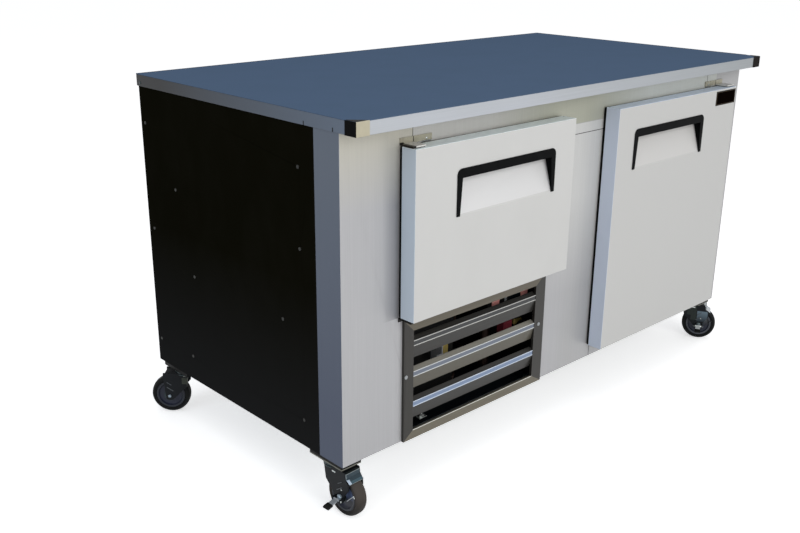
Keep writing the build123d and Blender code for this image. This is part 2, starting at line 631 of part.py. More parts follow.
def brake_mount():
    """Two ears on the fork's outer face and a folded guard over the tread."""
    y = -(BRAKE_OUT + BRAKE_STAND)
    ears = None
    for s in (-1, 1):
        xa, xb = sorted([CASTER_TRAIL + s * (BRAKE_WIDTH / 2 + TOUCH_GAP),
                         CASTER_TRAIL + s * (BRAKE_WIDTH / 2 + TOUCH_GAP + BRAKE_EAR)])
        ear = block(xa, xb, y - EAR_REACH, -BRAKE_OUT, BRAKE_PIVOT_Z - EAR_REACH, BRAKE_PIVOT_Z + EAR_REACH)
        ear -= rod_x(xa, xb, y, BRAKE_PIVOT_Z, BRAKE_PIN + AXLE_FIT)
        ears = ear if ears is None else ears + ear
    low = CROWN_TOP - FORK_SHEET
    guard = [(CASTER_TRAIL * 0.5, CROWN_TOP), (GUARD_FOLD, CROWN_TOP), (GUARD_END, CROWN_TOP - GUARD_DROP),
             (GUARD_END - 2.0, CROWN_TOP - GUARD_DROP - 2.5), (GUARD_FOLD - 1.0, low),
             (CASTER_TRAIL * 0.5, low)]
    face = make_face(Polyline(*[(x, -LEG_X, z) for x, z in guard], close=True))
    return ears + extrude(face, amount=2 * LEG_X, dir=(0, 1, 0))


def caster_brake():
    """Side pedal: a tongue that tips on a cross pin beside the hub."""
    y = -(BRAKE_OUT + BRAKE_STAND)
    x0 = CASTER_TRAIL - BRAKE_WIDTH / 2
    x1 = CASTER_TRAIL + BRAKE_WIDTH / 2
    half = BRAKE_SHEET / 2
    tongue = block(x0, x1, y - BRAKE_LENGTH, y, BRAKE_PIVOT_Z - half, BRAKE_PIVOT_Z + half)
    pin_end = BRAKE_WIDTH / 2 + TOUCH_GAP + BRAKE_EAR
    pin = rod_x(CASTER_TRAIL - pin_end, CASTER_TRAIL + pin_end, y, BRAKE_PIVOT_Z, BRAKE_PIN)
    tip = y - BRAKE_LENGTH
    lip = block(x0, x1, tip, tip + BRAKE_SHEET, BRAKE_PIVOT_Z - BRAKE_LIP, BRAKE_PIVOT_Z)
    return tongue + pin + lip


def casters():
    plates = []
    for name, (x, y) in caster_spots().items():
        pad = Pos(x, y, BASE_Z - PAD_THICK / 2) * Box(PLATE_WIDTH, PLATE_LENGTH, PAD_THICK)
        plates.append(pad)
        plates.append(Pos(x, y, 0) * caster_plate())
        turn = Pos(x, y, 0) * Rot(0, 0, CASTER_TURN[name])
        fork, axle = caster_fork()
        tyre, hub = caster_wheel()
        if name.startswith("front"):
            fork += brake_mount()
            keep(f"{name}_brake", turn * caster_brake())
        keep(f"{name}_fork", turn * fork, turn * axle)
        keep(f"{name}_wheel", turn * tyre, turn * hub)
    keep("caster_plates", *plates)


# ---- Shelves ------------------------------------------------------------------------------
def wire_shelf(x0, x1, y0, y1, z):
    """Wire shelf: square bar frame, one middle bar and round deck wires welded on top."""
    r = SHELF_WIRE / 2
    deck = block(x0 - r, x1 + r, y0 - r, y1 + r, z - r, z + r)
    middle = (y0 + y1) / 2
    for ya, yb in ((y0 + r, middle - r), (middle + r, y1 - r)):
        deck -= block(x0 + r, x1 - r, ya, yb, z - r, z + r)
    count = int((x1 - x0) / SHELF_PITCH)
    step = (x1 - x0) / count
    wire_z = z + r + SHELF_ROD / 2 - SHELF_WELD
    for i in range(1, count):
        deck += rod_y(x0 + i * step, y0, y1, wire_z, SHELF_ROD / 2)
    return deck


SHELF_Y0 = CAVITY_FRONT + SHELF_SIDE_GAP
SHELF_Y1 = CAVITY_BACK - SHELF_SIDE_GAP
LEFT_SHELF_Z = STEP_Z + LEFT_SHELF_LIFT
RIGHT_SHELF_Z = tuple(CAVITY_FLOOR + lift for lift in RIGHT_SHELF_LIFTS)
LEFT_SHELF_X = (CAVITY_LEFT + SHELF_SIDE_GAP, MULLION_LEFT + LEFT_SHELF_REACH)
RIGHT_SHELF_X = (MULLION_RIGHT - RIGHT_SHELF_REACH, CAVITY_RIGHT - SHELF_SIDE_GAP)


def standards(shelf_x, z0, z1, shelf_zs):
    """Four uprights on the front and back walls of a bay, with a clip under each shelf."""
    solids = []
    for x in (shelf_x[0] + STANDARD_INSET, shelf_x[1] - STANDARD_INSET):
        for wall, facing in ((CAVITY_FRONT, 1), (CAVITY_BACK, -1)):
            ya, yb = sorted([wall, wall + facing * STANDARD_DEPTH])
            strip = block(x - STANDARD_WIDTH / 2, x + STANDARD_WIDTH / 2, ya, yb, z0, z1)
            for z in shelf_zs:
                ca, cb = sorted([wall, wall + facing * (SHELF_SIDE_GAP + SHELF_WIRE)])
                top = z - SHELF_WIRE / 2
                strip += block(x - CLIP_WIDTH / 2, x + CLIP_WIDTH / 2, ca, cb, top - CLIP_HEIGHT, top)
            solids.append(strip)
    return solids


def shelves():
    keep("left_shelf", wire_shelf(LEFT_SHELF_X[0], LEFT_SHELF_X[1], SHELF_Y0, SHELF_Y1, LEFT_SHELF_Z))
    for name, z in zip(("right_lower_shelf", "right_upper_shelf"), RIGHT_SHELF_Z):
        keep(name, wire_shelf(RIGHT_SHELF_X[0], RIGHT_SHELF_X[1], SHELF_Y0, SHELF_Y1, z))
    strips = standards(LEFT_SHELF_X, STEP_Z + 10.0, CAVITY_TOP - 20.0, [LEFT_SHELF_Z])
    strips += standards(RIGHT_SHELF_X, CAVITY_FLOOR + 20.0, CAVITY_TOP - 20.0, RIGHT_SHELF_Z)
    keep("shelf_standards", *strips)


# ---- Machine compartment ------------------------------------------------------------------
def machinery():
    floor = BASE_Z + BASE_SHEET
    tray_x = (STILE_X + 6.0, MULLION_LEFT + 10.0)
    tray_y = (FRONT + TRAY_SETBACK, FRONT + TRAY_SETBACK + TRAY_DEPTH)
    bed = floor + TRAY_SHEET
    tray = block(tray_x[0], tray_x[1], tray_y[0], tray_y[1], floor, bed)
    for xa, xb in ((tray_x[0], tray_x[0] + TRAY_SHEET), (tray_x[1] - TRAY_SHEET, tray_x[1])):
        tray += block(xa, xb, tray_y[0], tray_y[1], bed, bed + TRAY_LIP)
    keep("unit_tray", tray)

    coil_x = (tray_x[0] + 12.0, tray_x[0] + 12.0 + COIL_WIDTH)
    coil_y = (FRONT + COIL_SETBACK, FRONT + COIL_SETBACK + COIL_DEPTH)
    coil_z = (bed, bed + COIL_HEIGHT)
    keep("condenser_coil", *coil_block(coil_x, coil_y, coil_z))
    shroud_y = (coil_y[1], coil_y[1] + SHROUD_DEPTH)
    fan_x = (coil_x[0] + coil_x[1]) / 2
    fan_z = (coil_z[0] + coil_z[1]) / 2
    shroud = tray_of(coil_x[0], coil_x[1], shroud_y[0], shroud_y[1], coil_z[0], coil_z[1], SHEET, "y0")
    ring_r = COIL_HEIGHT / 2 - SHROUD_RIM
    shroud -= rod_y(fan_x, shroud_y[0], shroud_y[1], fan_z, ring_r)
    keep("fan_shroud", shroud)
    motor_y = shroud_y[1] + FAN_MOTOR_GAP
    keep("condenser_fan", Pos(fan_x, shroud_y[1] + 4.0, fan_z) * fan_rotor(ring_r - FAN_TIP_GAP))
    keep("condenser_fan_motor", fan_motor(fan_x, motor_y, fan_z, bed))

    comp_x = (coil_x[1] + tray_x[1]) / 2 + 4.0
    comp_y = FRONT + COMPRESSOR_SETBACK
    keep("compressor", compressor(comp_x, comp_y, bed))
    keep("refrigerant_lines", refrigerant_lines(comp_x, comp_y, bed, coil_x[1], coil_y[0]))
    pan_y = tray_y[1] + PAN_GAP
    pan = tray_of(tray_x[0] + PAN_GAP, tray_x[1] - PAN_GAP, pan_y, pan_y + PAN_DEPTH, floor, floor + PAN_HEIGHT,
                  SHEET, "z1")
    keep("drain_pan", pan)
    controls()


def coil_block(xs, ys, zs):
    """Fin pack between two end plates, with its return bends."""
    ends = SHEET * 1.5
    pack = block(xs[0] + ends, xs[1] - ends, ys[0], ys[1], zs[0] + ends, zs[1] - ends)
    frame = block(xs[0], xs[1], ys[0], ys[1], zs[0], zs[1])
    frame -= block(xs[0] + ends, xs[1] - ends, ys[0], ys[1], zs[0] + ends, zs[1] - ends)
    return pack, frame


def fan_rotor(radius):
    """Twisted blades on a hub, turning about Y."""
    rotor = Rot(90, 0, 0) * Cylinder(FAN_HUB, FAN_DEPTH)
    rotor -= Pos(0, FAN_DEPTH / 2 - 3.0, 0) * Rot(90, 0, 0) * Cylinder(FAN_SHAFT + AXLE_FIT, 6.0)
    root = FAN_HUB - 6.0
    blade = Pos((radius + root) / 2, 0, 0) * Rot(FAN_PITCH, 0, 0) * Box(radius - root, 1.6, FAN_HUB * 2)
    blade &= Rot(90, 0, 0) * Cylinder(radius, FAN_DEPTH * 2)
    for i in range(FAN_BLADES):
        rotor += Rot(0, i * 360.0 / FAN_BLADES, 0) * blade
    return rotor


def fan_motor(x, y, z, bed):
    """Motor can with its shaft, on an upright strap with a foot on the tray."""
    rear = y + FAN_MOTOR_DEPTH
    can = rod_y(x, y, rear, z, FAN_MOTOR_RADIUS)
    shaft = rod_y(x, y - 16.0, y, z, FAN_SHAFT)
    half = STRAP_WIDTH / 2
    strap = block(x - half, x + half, rear, rear + 2.0, bed, z + FAN_MOTOR_RADIUS + 6.0)
    foot = block(x - half, x + half, rear, rear + 30.0, bed, bed + 2.0)
    return can + shaft + strap + foot


def compressor(x, y, bed):
    """Welded hermetic shell on its foot plate with four grommets."""
    low = bed + COMPRESSOR_FOOT
    r = COMPRESSOR_RADIUS
    middle = low + COMPRESSOR_HEIGHT / 2
    body = Pos(x, y, middle) * Cylinder(r, COMPRESSOR_HEIGHT)
    body = fillet(body.edges().filter_by(GeomType.CIRCLE), COMPRESSOR_ROUND)
    body += Pos(x, y, middle - 2.0) * Cylinder(r + 2.5, 5.0)
    body += block(x - r, x + r, y - r - 15.0, y + r + 15.0, low, low + 4.0)
    for sx in (-1, 1):
        for sy in (-1, 1):
            body += rod_z(x + sx * (r - 18.0), y + sy * (r + 4.0), bed, low, 9.0)
    body += block(x + r - 4.0, x + r + 22.0, y - 26.0, y + 26.0, middle - 12.0, middle + 42.0)
    body += rod_y(x - PORT_SIDE, y - PORT_REACH, y, bed + PORT_HEIGHT, PORT_RADIUS)
    return body


def refrigerant_lines(x, y, bed, coil_end, coil_front):
    """Discharge line from the compressor to the condenser, then the filter drier."""
    port_z = bed + PORT_HEIGHT
    line_y = coil_front + 20.0
    start = (x - PORT_SIDE, y - PORT_REACH, port_z)
    corner = (x - PORT_SIDE, line_y, port_z)
    end = (coil_end, line_y, port_z)
    route = FilletPolyline(start, corner, end, radius=LINE_BEND)
    line = sweep(Plane(start, z_dir=(0, -1, 0)) * Circle(LINE_RADIUS), path=route)
    drier_x = x + 34.0
    foot = bed + 30.0
    head = foot + DRIER_LENGTH
    drier = rod_z(drier_x, line_y, bed, foot, LINE_RADIUS)
    drier += rod_z(drier_x, line_y, foot, head, DRIER_RADIUS)
    drier += rod_z(drier_x, line_y, head, head + 16.0, LINE_RADIUS + 2.0)
    return Compound(children=[line, drier])


PANEL_Y = FRONT + 33.0
SWITCH_SPOTS = {"compressor_switch": STILE_X + 319.0, "light_switch": STILE_X + 426.0}
THERMOSTAT_X = STILE_X + 376.0
CONTROL_Z = GRILLE_HIGH - 56.0
ROCKER_WIDTH = 27.0
ROCKER_HEIGHT = 36.0
ROCKER_DEPTH = 12.0
ROCKER_END_GAP = 4.0
ROCKER_PROUD = 5.0
ROCKER_EAR = 2.0
ROCKER_PIN = 2.0
ROCKER_PIN_SETBACK = 7.0
THERMOSTAT_WIDTH = 60.0
THERMOSTAT_HEIGHT = 24.0
THERMOSTAT_DEPTH = 44.0
THERMOSTAT_RIM = 3.0


def controls():
    """Control box with two rocker switches and the thermostat, above the tray."""
    box_x = (STILE_X + 290.0, MACHINE_RIGHT - 4.0)
    box_z = (CONTROL_Z - 26.0, STEP_UNDER)
    box = tray_of(box_x[0], box_x[1], PANEL_Y, PANEL_Y + 55.0, box_z[0], box_z[1], SHEET, "y1")
    for x in SWITCH_SPOTS.values():
        box -= block(x - ROCKER_WIDTH / 2, x + ROCKER_WIDTH / 2, PANEL_Y, PANEL_Y + SHEET,
                     CONTROL_Z - ROCKER_HEIGHT / 2, CONTROL_Z + ROCKER_HEIGHT / 2)
        for s in (-1, 1):
            ya, yb = sorted([s * (ROCKER_WIDTH / 2), s * (ROCKER_WIDTH / 2 + ROCKER_EAR)])
            box += block(x + ya, x + yb, PANEL_Y + SHEET, PANEL_Y + ROCKER_DEPTH + 6.0,
                         CONTROL_Z - 10.0, CONTROL_Z + 10.0)
            box -= rod_x(x + ya, x + yb, PANEL_Y + ROCKER_PIN_SETBACK, CONTROL_Z, ROCKER_PIN + AXLE_FIT)
    box -= key_face(0.0, PANEL_Y, PANEL_Y + SHEET)
    keep("control_box", box)
    for name, x in SWITCH_SPOTS.items():
        keep(name, rocker(x))
    body = key_face(0.0, PANEL_Y, PANEL_Y + THERMOSTAT_DEPTH)
    keep("thermostat", body + key_face(THERMOSTAT_RIM, PANEL_Y - THERMOSTAT_RIM, PANEL_Y))


def key_face(rim, y0, y1):
    """Thermostat body between two depths, grown outward by its rim."""
    across = THERMOSTAT_WIDTH / 2 + rim
    up = THERMOSTAT_HEIGHT / 2 + rim
    return block(THERMOSTAT_X - across, THERMOSTAT_X + across, y0, y1, CONTROL_Z - up, CONTROL_Z + up)


def rocker(x):
    """Rocker pressed in at its lower half, pivoting on side pins."""
    half = ROCKER_WIDTH / 2 - TOUCH_GAP
    high = ROCKER_HEIGHT / 2 - ROCKER_END_GAP
    back = PANEL_Y + ROCKER_DEPTH - 2.0
    points = [(PANEL_Y - ROCKER_PROUD, CONTROL_Z + high), (PANEL_Y - 1.0, CONTROL_Z), (PANEL_Y, CONTROL_Z - high),
              (back, CONTROL_Z - 8.0), (back, CONTROL_Z + 8.0), (PANEL_Y + 3.0, CONTROL_Z + high)]
    body = profile_x(points, x - half, x + half)
    end = half + ROCKER_EAR
    return body + rod_x(x - end, x + end, PANEL_Y + ROCKER_PIN_SETBACK, CONTROL_Z, ROCKER_PIN)


# ---- Evaporator ---------------------------------------------------------------------------
def evaporator():
    """Forced-air coil in its housing on the left wall, above the short shelf."""
    x0 = CAVITY_LEFT
    x1 = CAVITY_LEFT + EVAP_WIDTH
    coil_end = x0 + EVAP_COIL_DEPTH
    y = (CAVITY_FRONT + EVAP_FRONT_GAP, CAVITY_BACK - EVAP_BACK_GAP)
    z = (LEFT_SHELF_Z + EVAP_SHELF_GAP, CAVITY_TOP)
    fan_y = y[0] + EVAP_FAN_SETBACK
    fan_z = (z[0] + z[1]) / 2
    mouth = (z[1] - z[0]) / 2 - FAN_MOUTH_RIM
    housing = tray_of(x0, x1, y[0], y[1], z[0], z[1], SHEET, "x0")
    housing -= block(x0 + 10.0, x1 - 20.0, y[0] + 20.0, y[1] - 20.0, z[0], z[0] + SHEET)
    housing -= rod_x(x1 - SHEET, x1, fan_y, fan_z, mouth)
    keep("evaporator_housing", housing)
    keep("evaporator_coil", block(x0, coil_end, y[0] + SHEET, y[1] - SHEET, z[0] + SHEET, z[1] - SHEET))
    motor_end = coil_end + EVAP_MOTOR_DEPTH
    motor = rod_x(coil_end, motor_end, fan_y, fan_z, EVAP_MOTOR_RADIUS)
    motor += rod_x(motor_end, motor_end + FAN_DEPTH, fan_y, fan_z, FAN_SHAFT)
    keep("evaporator_fan_motor", motor)
    rotor = Rot(0, 0, 90) * fan_rotor(mouth - FAN_TIP_GAP)
    keep("evaporator_fan", Pos(motor_end + FAN_DEPTH + 1.0, fan_y, fan_z) * rotor)


worktop()
casing()
insulation()
door_parts("left", LEFT_DOOR, True)
door_parts("right", RIGHT_DOOR, False)
hinges()
grille()
screws()
casters()
shelves()
machinery()
evaporator()

os.makedirs("parts", exist_ok=True)
for part_name, part_shape in PARTS.items():
    export_step(part_shape, f"parts/{part_name}.step")
print(len(PARTS), "nodes")
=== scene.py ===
"""Looks of a two-door undercounter refrigerator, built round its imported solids."""
import logging
import math
from dataclasses import dataclass
from enum import Enum
from typing import Callable, Iterable, Optional, Sequence, Union

import bmesh
import bpy
from mathutils import Matrix, Vector

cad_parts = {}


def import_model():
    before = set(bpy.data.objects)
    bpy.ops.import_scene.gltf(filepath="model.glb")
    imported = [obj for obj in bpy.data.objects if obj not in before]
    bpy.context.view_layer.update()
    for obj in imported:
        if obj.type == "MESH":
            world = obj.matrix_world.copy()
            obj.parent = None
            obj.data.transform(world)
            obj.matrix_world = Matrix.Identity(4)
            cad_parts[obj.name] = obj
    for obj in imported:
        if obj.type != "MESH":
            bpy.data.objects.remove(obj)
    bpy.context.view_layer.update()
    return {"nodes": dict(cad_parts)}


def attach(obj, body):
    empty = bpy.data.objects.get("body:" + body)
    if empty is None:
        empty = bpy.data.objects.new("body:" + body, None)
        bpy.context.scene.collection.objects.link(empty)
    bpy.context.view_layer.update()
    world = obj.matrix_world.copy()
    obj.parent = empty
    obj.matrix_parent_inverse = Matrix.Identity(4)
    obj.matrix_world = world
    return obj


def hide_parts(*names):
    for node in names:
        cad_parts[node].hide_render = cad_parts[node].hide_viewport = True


LOG = logging.getLogger("refrigerator")
MM = 0.001
Colour = tuple[float, float, float, float]
Point = tuple[float, float, float]
ORIGIN = (0.0, 0.0, 0.0)
WHITE = (1.0, 1.0, 1.0, 1.0)
PIC_WIDTH = 800
SENSOR = 36.0
OBJECT_COORDINATES = 3
MIX_FIRST, MIX_SECOND, MIX_RESULT = 6, 7, 2


def tone(code: str) -> Colour:
    """Linear colour of a six-digit hex code."""
    parts = [int(code[i : i + 2], 16) / 255 for i in (0, 2, 4)]
    red, green, blue = [p / 12.92 if p <= 0.04045 else ((p + 0.055) / 1.055) ** 2.4 for p in parts]
    return red, green, blue, 1.0


# ---- Shader building ------------------------------------------------------------------------
def operator(operation: str, swapped: bool = False) -> Callable[["Wire", "Value"], "Wire"]:
    """Method of a wire that adds one Math node, with its two inputs swapped or not."""

    def method(self: "Wire", other: "Value" = 0.0) -> "Wire":
        first, second = (other, self) if swapped else (self, other)
        return self.graph.node("ShaderNodeMath", {"operation": operation}, {0: first, 1: second})

    return method


class Wire:
    """One output socket of a finish's nodes; arithmetic on it adds Math nodes."""

    def __init__(self, graph: "Graph", socket: bpy.types.NodeSocket) -> None:
        """Keep the socket and the graph it belongs to."""
        self.graph = graph
        self.socket = socket

    __add__ = operator("ADD")
    __sub__ = operator("SUBTRACT")
    __rsub__ = operator("SUBTRACT", swapped=True)
    __mul__ = operator("MULTIPLY")
    __gt__ = operator("GREATER_THAN")
    __lt__ = operator("LESS_THAN")
    sine = operator("SINE")

    def ramp(self, low: float, high: float) -> "Wire":
        """0 at low, 1 at high and a straight line between, clamped."""
        settings = {"clamp": True, "interpolation_type": "LINEAR"}
        return self.graph.node("ShaderNodeMapRange", settings, {0: self, 1: low, 2: high, 3: 0.0, 4: 1.0})


Value = Union[Wire, float, Colour, Point]
Span = tuple[Optional[float], Optional[float]]
OPEN = (None, None)


@dataclass(frozen=True)
class Zone:
    """Part of a piece with a tone of its own, between two planes across each axis.

    Planes are in millimetres in the row frame, None where there is none, and a fade is an axis'
    number and the places where it starts and ends.
    Some zones are another paint or a bare edge. Others stand for light that the piece reflects, or
    for shade on it, and stay where they are when the lights change.
    """

    colour: str
    x: Span = OPEN
    y: Span = OPEN
    z: Span = OPEN
    fade: Optional[tuple[int, float, float]] = None


class Graph:
    """The node tree of one finish."""

    def __init__(self, name: str) -> None:
        """Start a material with its Principled shader."""
        self.material = bpy.data.materials.new(name)
        self.material.use_nodes = True
        self.tree = self.material.node_tree
        self.shader = next(n for n in self.tree.nodes if n.type == "BSDF_PRINCIPLED")

    def node(self, kind: str, settings: dict, sockets: dict, output: int = 0) -> Wire:
        """Add a node.

        Args:
            kind: Blender's node type.
            settings: attributes that are set first.
            sockets: values or wires by input name or number.
            output: number of the output to return.

        Returns:
            The chosen output.
        """
        made = self.tree.nodes.new(kind)
        for key, value in settings.items():
            setattr(made, key, value)
        for key, value in sockets.items():
            self.feed(made.inputs[key], value)
        return Wire(self, made.outputs[output])

    def feed(self, socket: bpy.types.NodeSocket, value: Value) -> None:
        """Link a wire to a socket, or set the socket's value."""
        if isinstance(value, Wire):
            self.tree.links.new(value.socket, socket)
        else:
            socket.default_value = value

    def place(self) -> Wire:
        """Position on the piece, in the row frame at rest."""
        return self.node("ShaderNodeTexCoord", {}, {}, output=OBJECT_COORDINATES)

    def axis(self, number: int) -> Wire:
        """One coordinate of the position, in metres."""
        return self.node("ShaderNodeSeparateXYZ", {}, {0: self.place()}, output=number)

    def inside(self, zone: Zone) -> Wire:
        """1 within a zone, rising along its fade when it has one."""
        mask: Optional[Wire] = None
        for number, span in enumerate((zone.x, zone.y, zone.z)):
            for edge, above in zip(span, (True, False)):
                if edge is not None:
                    spot = self.axis(number)
                    side = spot > edge * MM if above else spot < edge * MM
                    mask = side if mask is None else mask * side
        if zone.fade:
            number, start, end = zone.fade
            slope = self.axis(number).ramp(start * MM, end * MM)
            mask = slope if mask is None else mask * slope
        return mask

    def tint(self, base: Wire, zones: Iterable[Zone]) -> Wire:
        """Lay the zones' colours over a base colour, in order."""
        for zone in zones:
            base = self.blend(self.inside(zone), base, tone(zone.colour))
        return base

    def noise(self, size: float, stretch: Point = (1.0, 1.0, 1.0), detail: float = 3.0) -> Wire:
        """Cloudy noise.

        Args:
            size: size of a cloud, in metres.
            stretch: how much longer it is along each axis.
            detail: octaves.

        Returns:
            The noise, about 0.5.
        """
        scale = tuple(1.0 / (size * s) for s in stretch)
        spot = self.node("ShaderNodeVectorMath", {"operation": "MULTIPLY"}, {0: self.place(), 1: scale})
        return self.node("ShaderNodeTexNoise", {}, {"Vector": spot, "Scale": 1.0, "Detail": detail})

    def blend(self, mask: Value, first: Value, second: Value) -> Wire:
        """First colour where the mask is 0, second where it is 1."""
        sockets = {0: mask, MIX_FIRST: first, MIX_SECOND: second}
        return self.node("ShaderNodeMix", {"data_type": "RGBA"}, sockets, output=MIX_RESULT)

    def bump(self, height: Wire, strength: float, distance: float) -> Wire:
        """Surface relief from a height."""
        return self.node("ShaderNodeBump", {}, {"Height": height, "Strength": strength, "Distance": distance})

    def finish(self, **sockets: Value) -> bpy.types.Material:
        """Set the shader's own sockets, with _ for a space in their names."""
        for key, value in sockets.items():
            self.feed(self.shader.inputs[key.replace("_", " ")], value)
        return self.material


class Grain(Enum):
    """Direction a sheet was brushed in: how long the strokes are along each axis."""

    ALONG_X = (160.0, 1.0, 1.0)
    ALONG_Y = (1.0, 160.0, 1.0)
    ALONG_Z = (1.0, 1.0, 160.0)


@dataclass(frozen=True)
class Coating:
    """What brushed sheet, enamel, mouldings and plating share."""

    name: str
    colour: str
    shade: str
    roughness: float = 0.38
    metallic: float = 0.0
    gloss: float = 0.3
    zones: tuple[Zone, ...] = ()

    def tones(self, g: Graph, mask: Wire) -> Wire:
        """Drift between the two tones, with the zones laid over it."""
        return g.tint(g.blend(mask, tone(self.colour), tone(self.shade)), self.zones)

    def close(self, g: Graph, base: Wire, rough: Wire, relief: Wire) -> bpy.types.Material:
        """Set the shader."""
        return g.finish(
            Base_Color=base,
            Metallic=self.metallic,
            Roughness=rough,
            Specular_IOR_Level=self.gloss,
            Normal=relief,
        )


@dataclass(frozen=True)
class BrushedSheet(Coating):
    """Sheet metal with fine strokes and a slow drift of colour."""

    grain: Grain = Grain.ALONG_Z

    def material(self) -> bpy.types.Material:
        """Build the finish."""
        g = Graph(self.name)
        strokes = g.noise(0.0012, self.grain.value, detail=2.0)
        clouds = g.noise(0.22, tuple(1.0 + s / 60 for s in self.grain.value), detail=2.0)
        base = self.tones(g, clouds.ramp(0.38, 0.66))
        base = g.blend((strokes - 0.5) * 0.22 + 0.06, base, tone("6f7276"))
        rough = (strokes - 0.5) * 0.16 + (clouds - 0.5) * 0.1 + self.roughness
        return self.close(g, base, rough, g.bump(strokes, 0.12, 0.0002))


@dataclass(frozen=True)
class Enamel(Coating):
    """Sprayed coating, laminate, board or foam, with a faint peel and handling marks."""

    peel: float = 0.06

    def material(self) -> bpy.types.Material:
        """Build the finish."""
        g = Graph(self.name)
        peel = g.noise(0.0022, detail=1.0)
        marks = g.noise(0.09, (1.0, 1.0, 1.6), detail=5.0)
        base = self.tones(g, marks.ramp(0.42, 0.72))
        rough = (marks - 0.5) * 0.18 + self.roughness
        return self.close(g, base, rough, g.bump(peel, self.peel, 0.0004))


@dataclass(frozen=True)
class Moulded(Coating):
    """Plastic or rubber with a fine spark-eroded grain."""

    gloss: float = 0.25
    grain: float = 0.0009
    relief: float = 0.25

    def material(self) -> bpy.types.Material:
        """Build the finish."""
        g = Graph(self.name)
        grain = g.noise(self.grain, detail=2.0)
        dust = g.noise(0.03, detail=4.0)
        base = self.tones(g, dust.ramp(0.45, 0.75))
        rough = (grain - 0.5) * 0.2 + self.roughness
        return self.close(g, base, rough, g.bump(grain, self.relief, 0.0002))


@dataclass(frozen=True)
class Plated(Coating):
    """Zinc, copper or polished metal with soft stains."""

    gloss: float = 0.5
    amount: float = 0.5

    def material(self) -> bpy.types.Material:
        """Build the finish."""
        g = Graph(self.name)
        stain = g.noise(0.012, detail=5.0)
        fine = g.noise(0.0015, detail=2.0)
        base = self.tones(g, stain.ramp(0.4, 0.7) * self.amount)
        rough = (stain - 0.5) * 0.3 + self.roughness
        return self.close(g, base, rough, g.bump(fine, 0.08, 0.0002))


@dataclass(frozen=True)
class FinStack:
    """Pack of thin fins: fine stripes across one axis."""

    name: str
    colour: str
    gap: str
    axis: int = 0
    pitch: float = 0.0026

    def material(self) -> bpy.types.Material:
        """Build the finish."""
        g = Graph(self.name)
        wave = (g.axis(self.axis) * (2 * math.pi / self.pitch)).sine() * 0.5 + 0.5
        dust = g.noise(0.05, detail=4.0)
        base = g.blend(wave.ramp(0.3, 0.8), tone(self.gap), tone(self.colour))
        base = g.blend(dust.ramp(0.5, 0.8) * 0.4, base, tone("4a463f"))
        return g.finish(Base_Color=base, Metallic=0.7, Roughness=0.5, Normal=g.bump(wave, 0.6, 0.0008))


@dataclass(frozen=True)
class MitredBars:
    """Four bars of one sheet, brushed along their length, that meet at mitres; the lying bars are painted
    lighter and the upright ones darker, as painted light and shade.
    """

    name: str
    head: str
    foot: str
    side: str
    outer: tuple[float, float, float, float] = (-586.0, -102.0, 132.0, 427.0)
    widths: tuple[float, float, float, float] = (29.0, 36.0, 21.0, 29.0)
    metallic: float = 0.3
    roughness: float = 0.4

    def material(self) -> bpy.types.Material:
        """Build the finish."""
        g = Graph(self.name)
        x0, x1, z0, z1 = self.outer
        left, right, foot, head = self.widths
        across, up = g.axis(0) * (1 / MM), g.axis(2) * (1 / MM)
        from_left, from_right = (across - x0) * (1 / left), (x1 - across) * (1 / right)
        from_foot, from_head = (up - z0) * (1 / foot), (z1 - up) * (1 / head)
        at_foot = (from_foot < from_left) * (from_foot < from_right)
        at_head = (from_head < from_left) * (from_head < from_right)
        flat = g.noise(0.0014, (120.0, 1.0, 1.0), detail=2.0)
        upright = g.noise(0.0014, (1.0, 1.0, 120.0), detail=2.0)
        base = g.blend(at_foot, tone(self.side), tone(self.foot))
        base = g.blend(at_head, base, tone(self.head))
        lying = at_foot + at_head
        strokes = flat * lying + upright * (1.0 - lying)
        base = g.blend((strokes - 0.5) * 0.3 + 0.1, base, tone("15130f"))
        relief = g.bump(strokes, 0.15, 0.0002)
        rough = (strokes - 0.5) * 0.2 + self.roughness
        return g.finish(Base_Color=base, Metallic=self.metallic, Roughness=rough, Normal=relief)


@dataclass(frozen=True)
class Lamp:
    """Small lit or reflective face such as a display or an indicator."""

    name: str
    colour: str
    glow: float
    roughness: float

    def material(self) -> bpy.types.Material:
        """Build the finish."""
        g = Graph(self.name)
        smear = g.noise(0.006, detail=3.0)
        base = g.blend(smear.ramp(0.35, 0.75) * 0.35, tone(self.colour), tone("101010"))
        return g.finish(
            Base_Color=base, Roughness=self.roughness, Emission_Color=base, Emission_Strength=self.glow
        )


Finish = Union[BrushedSheet, Enamel, Moulded, Plated, FinStack, MitredBars, Lamp]


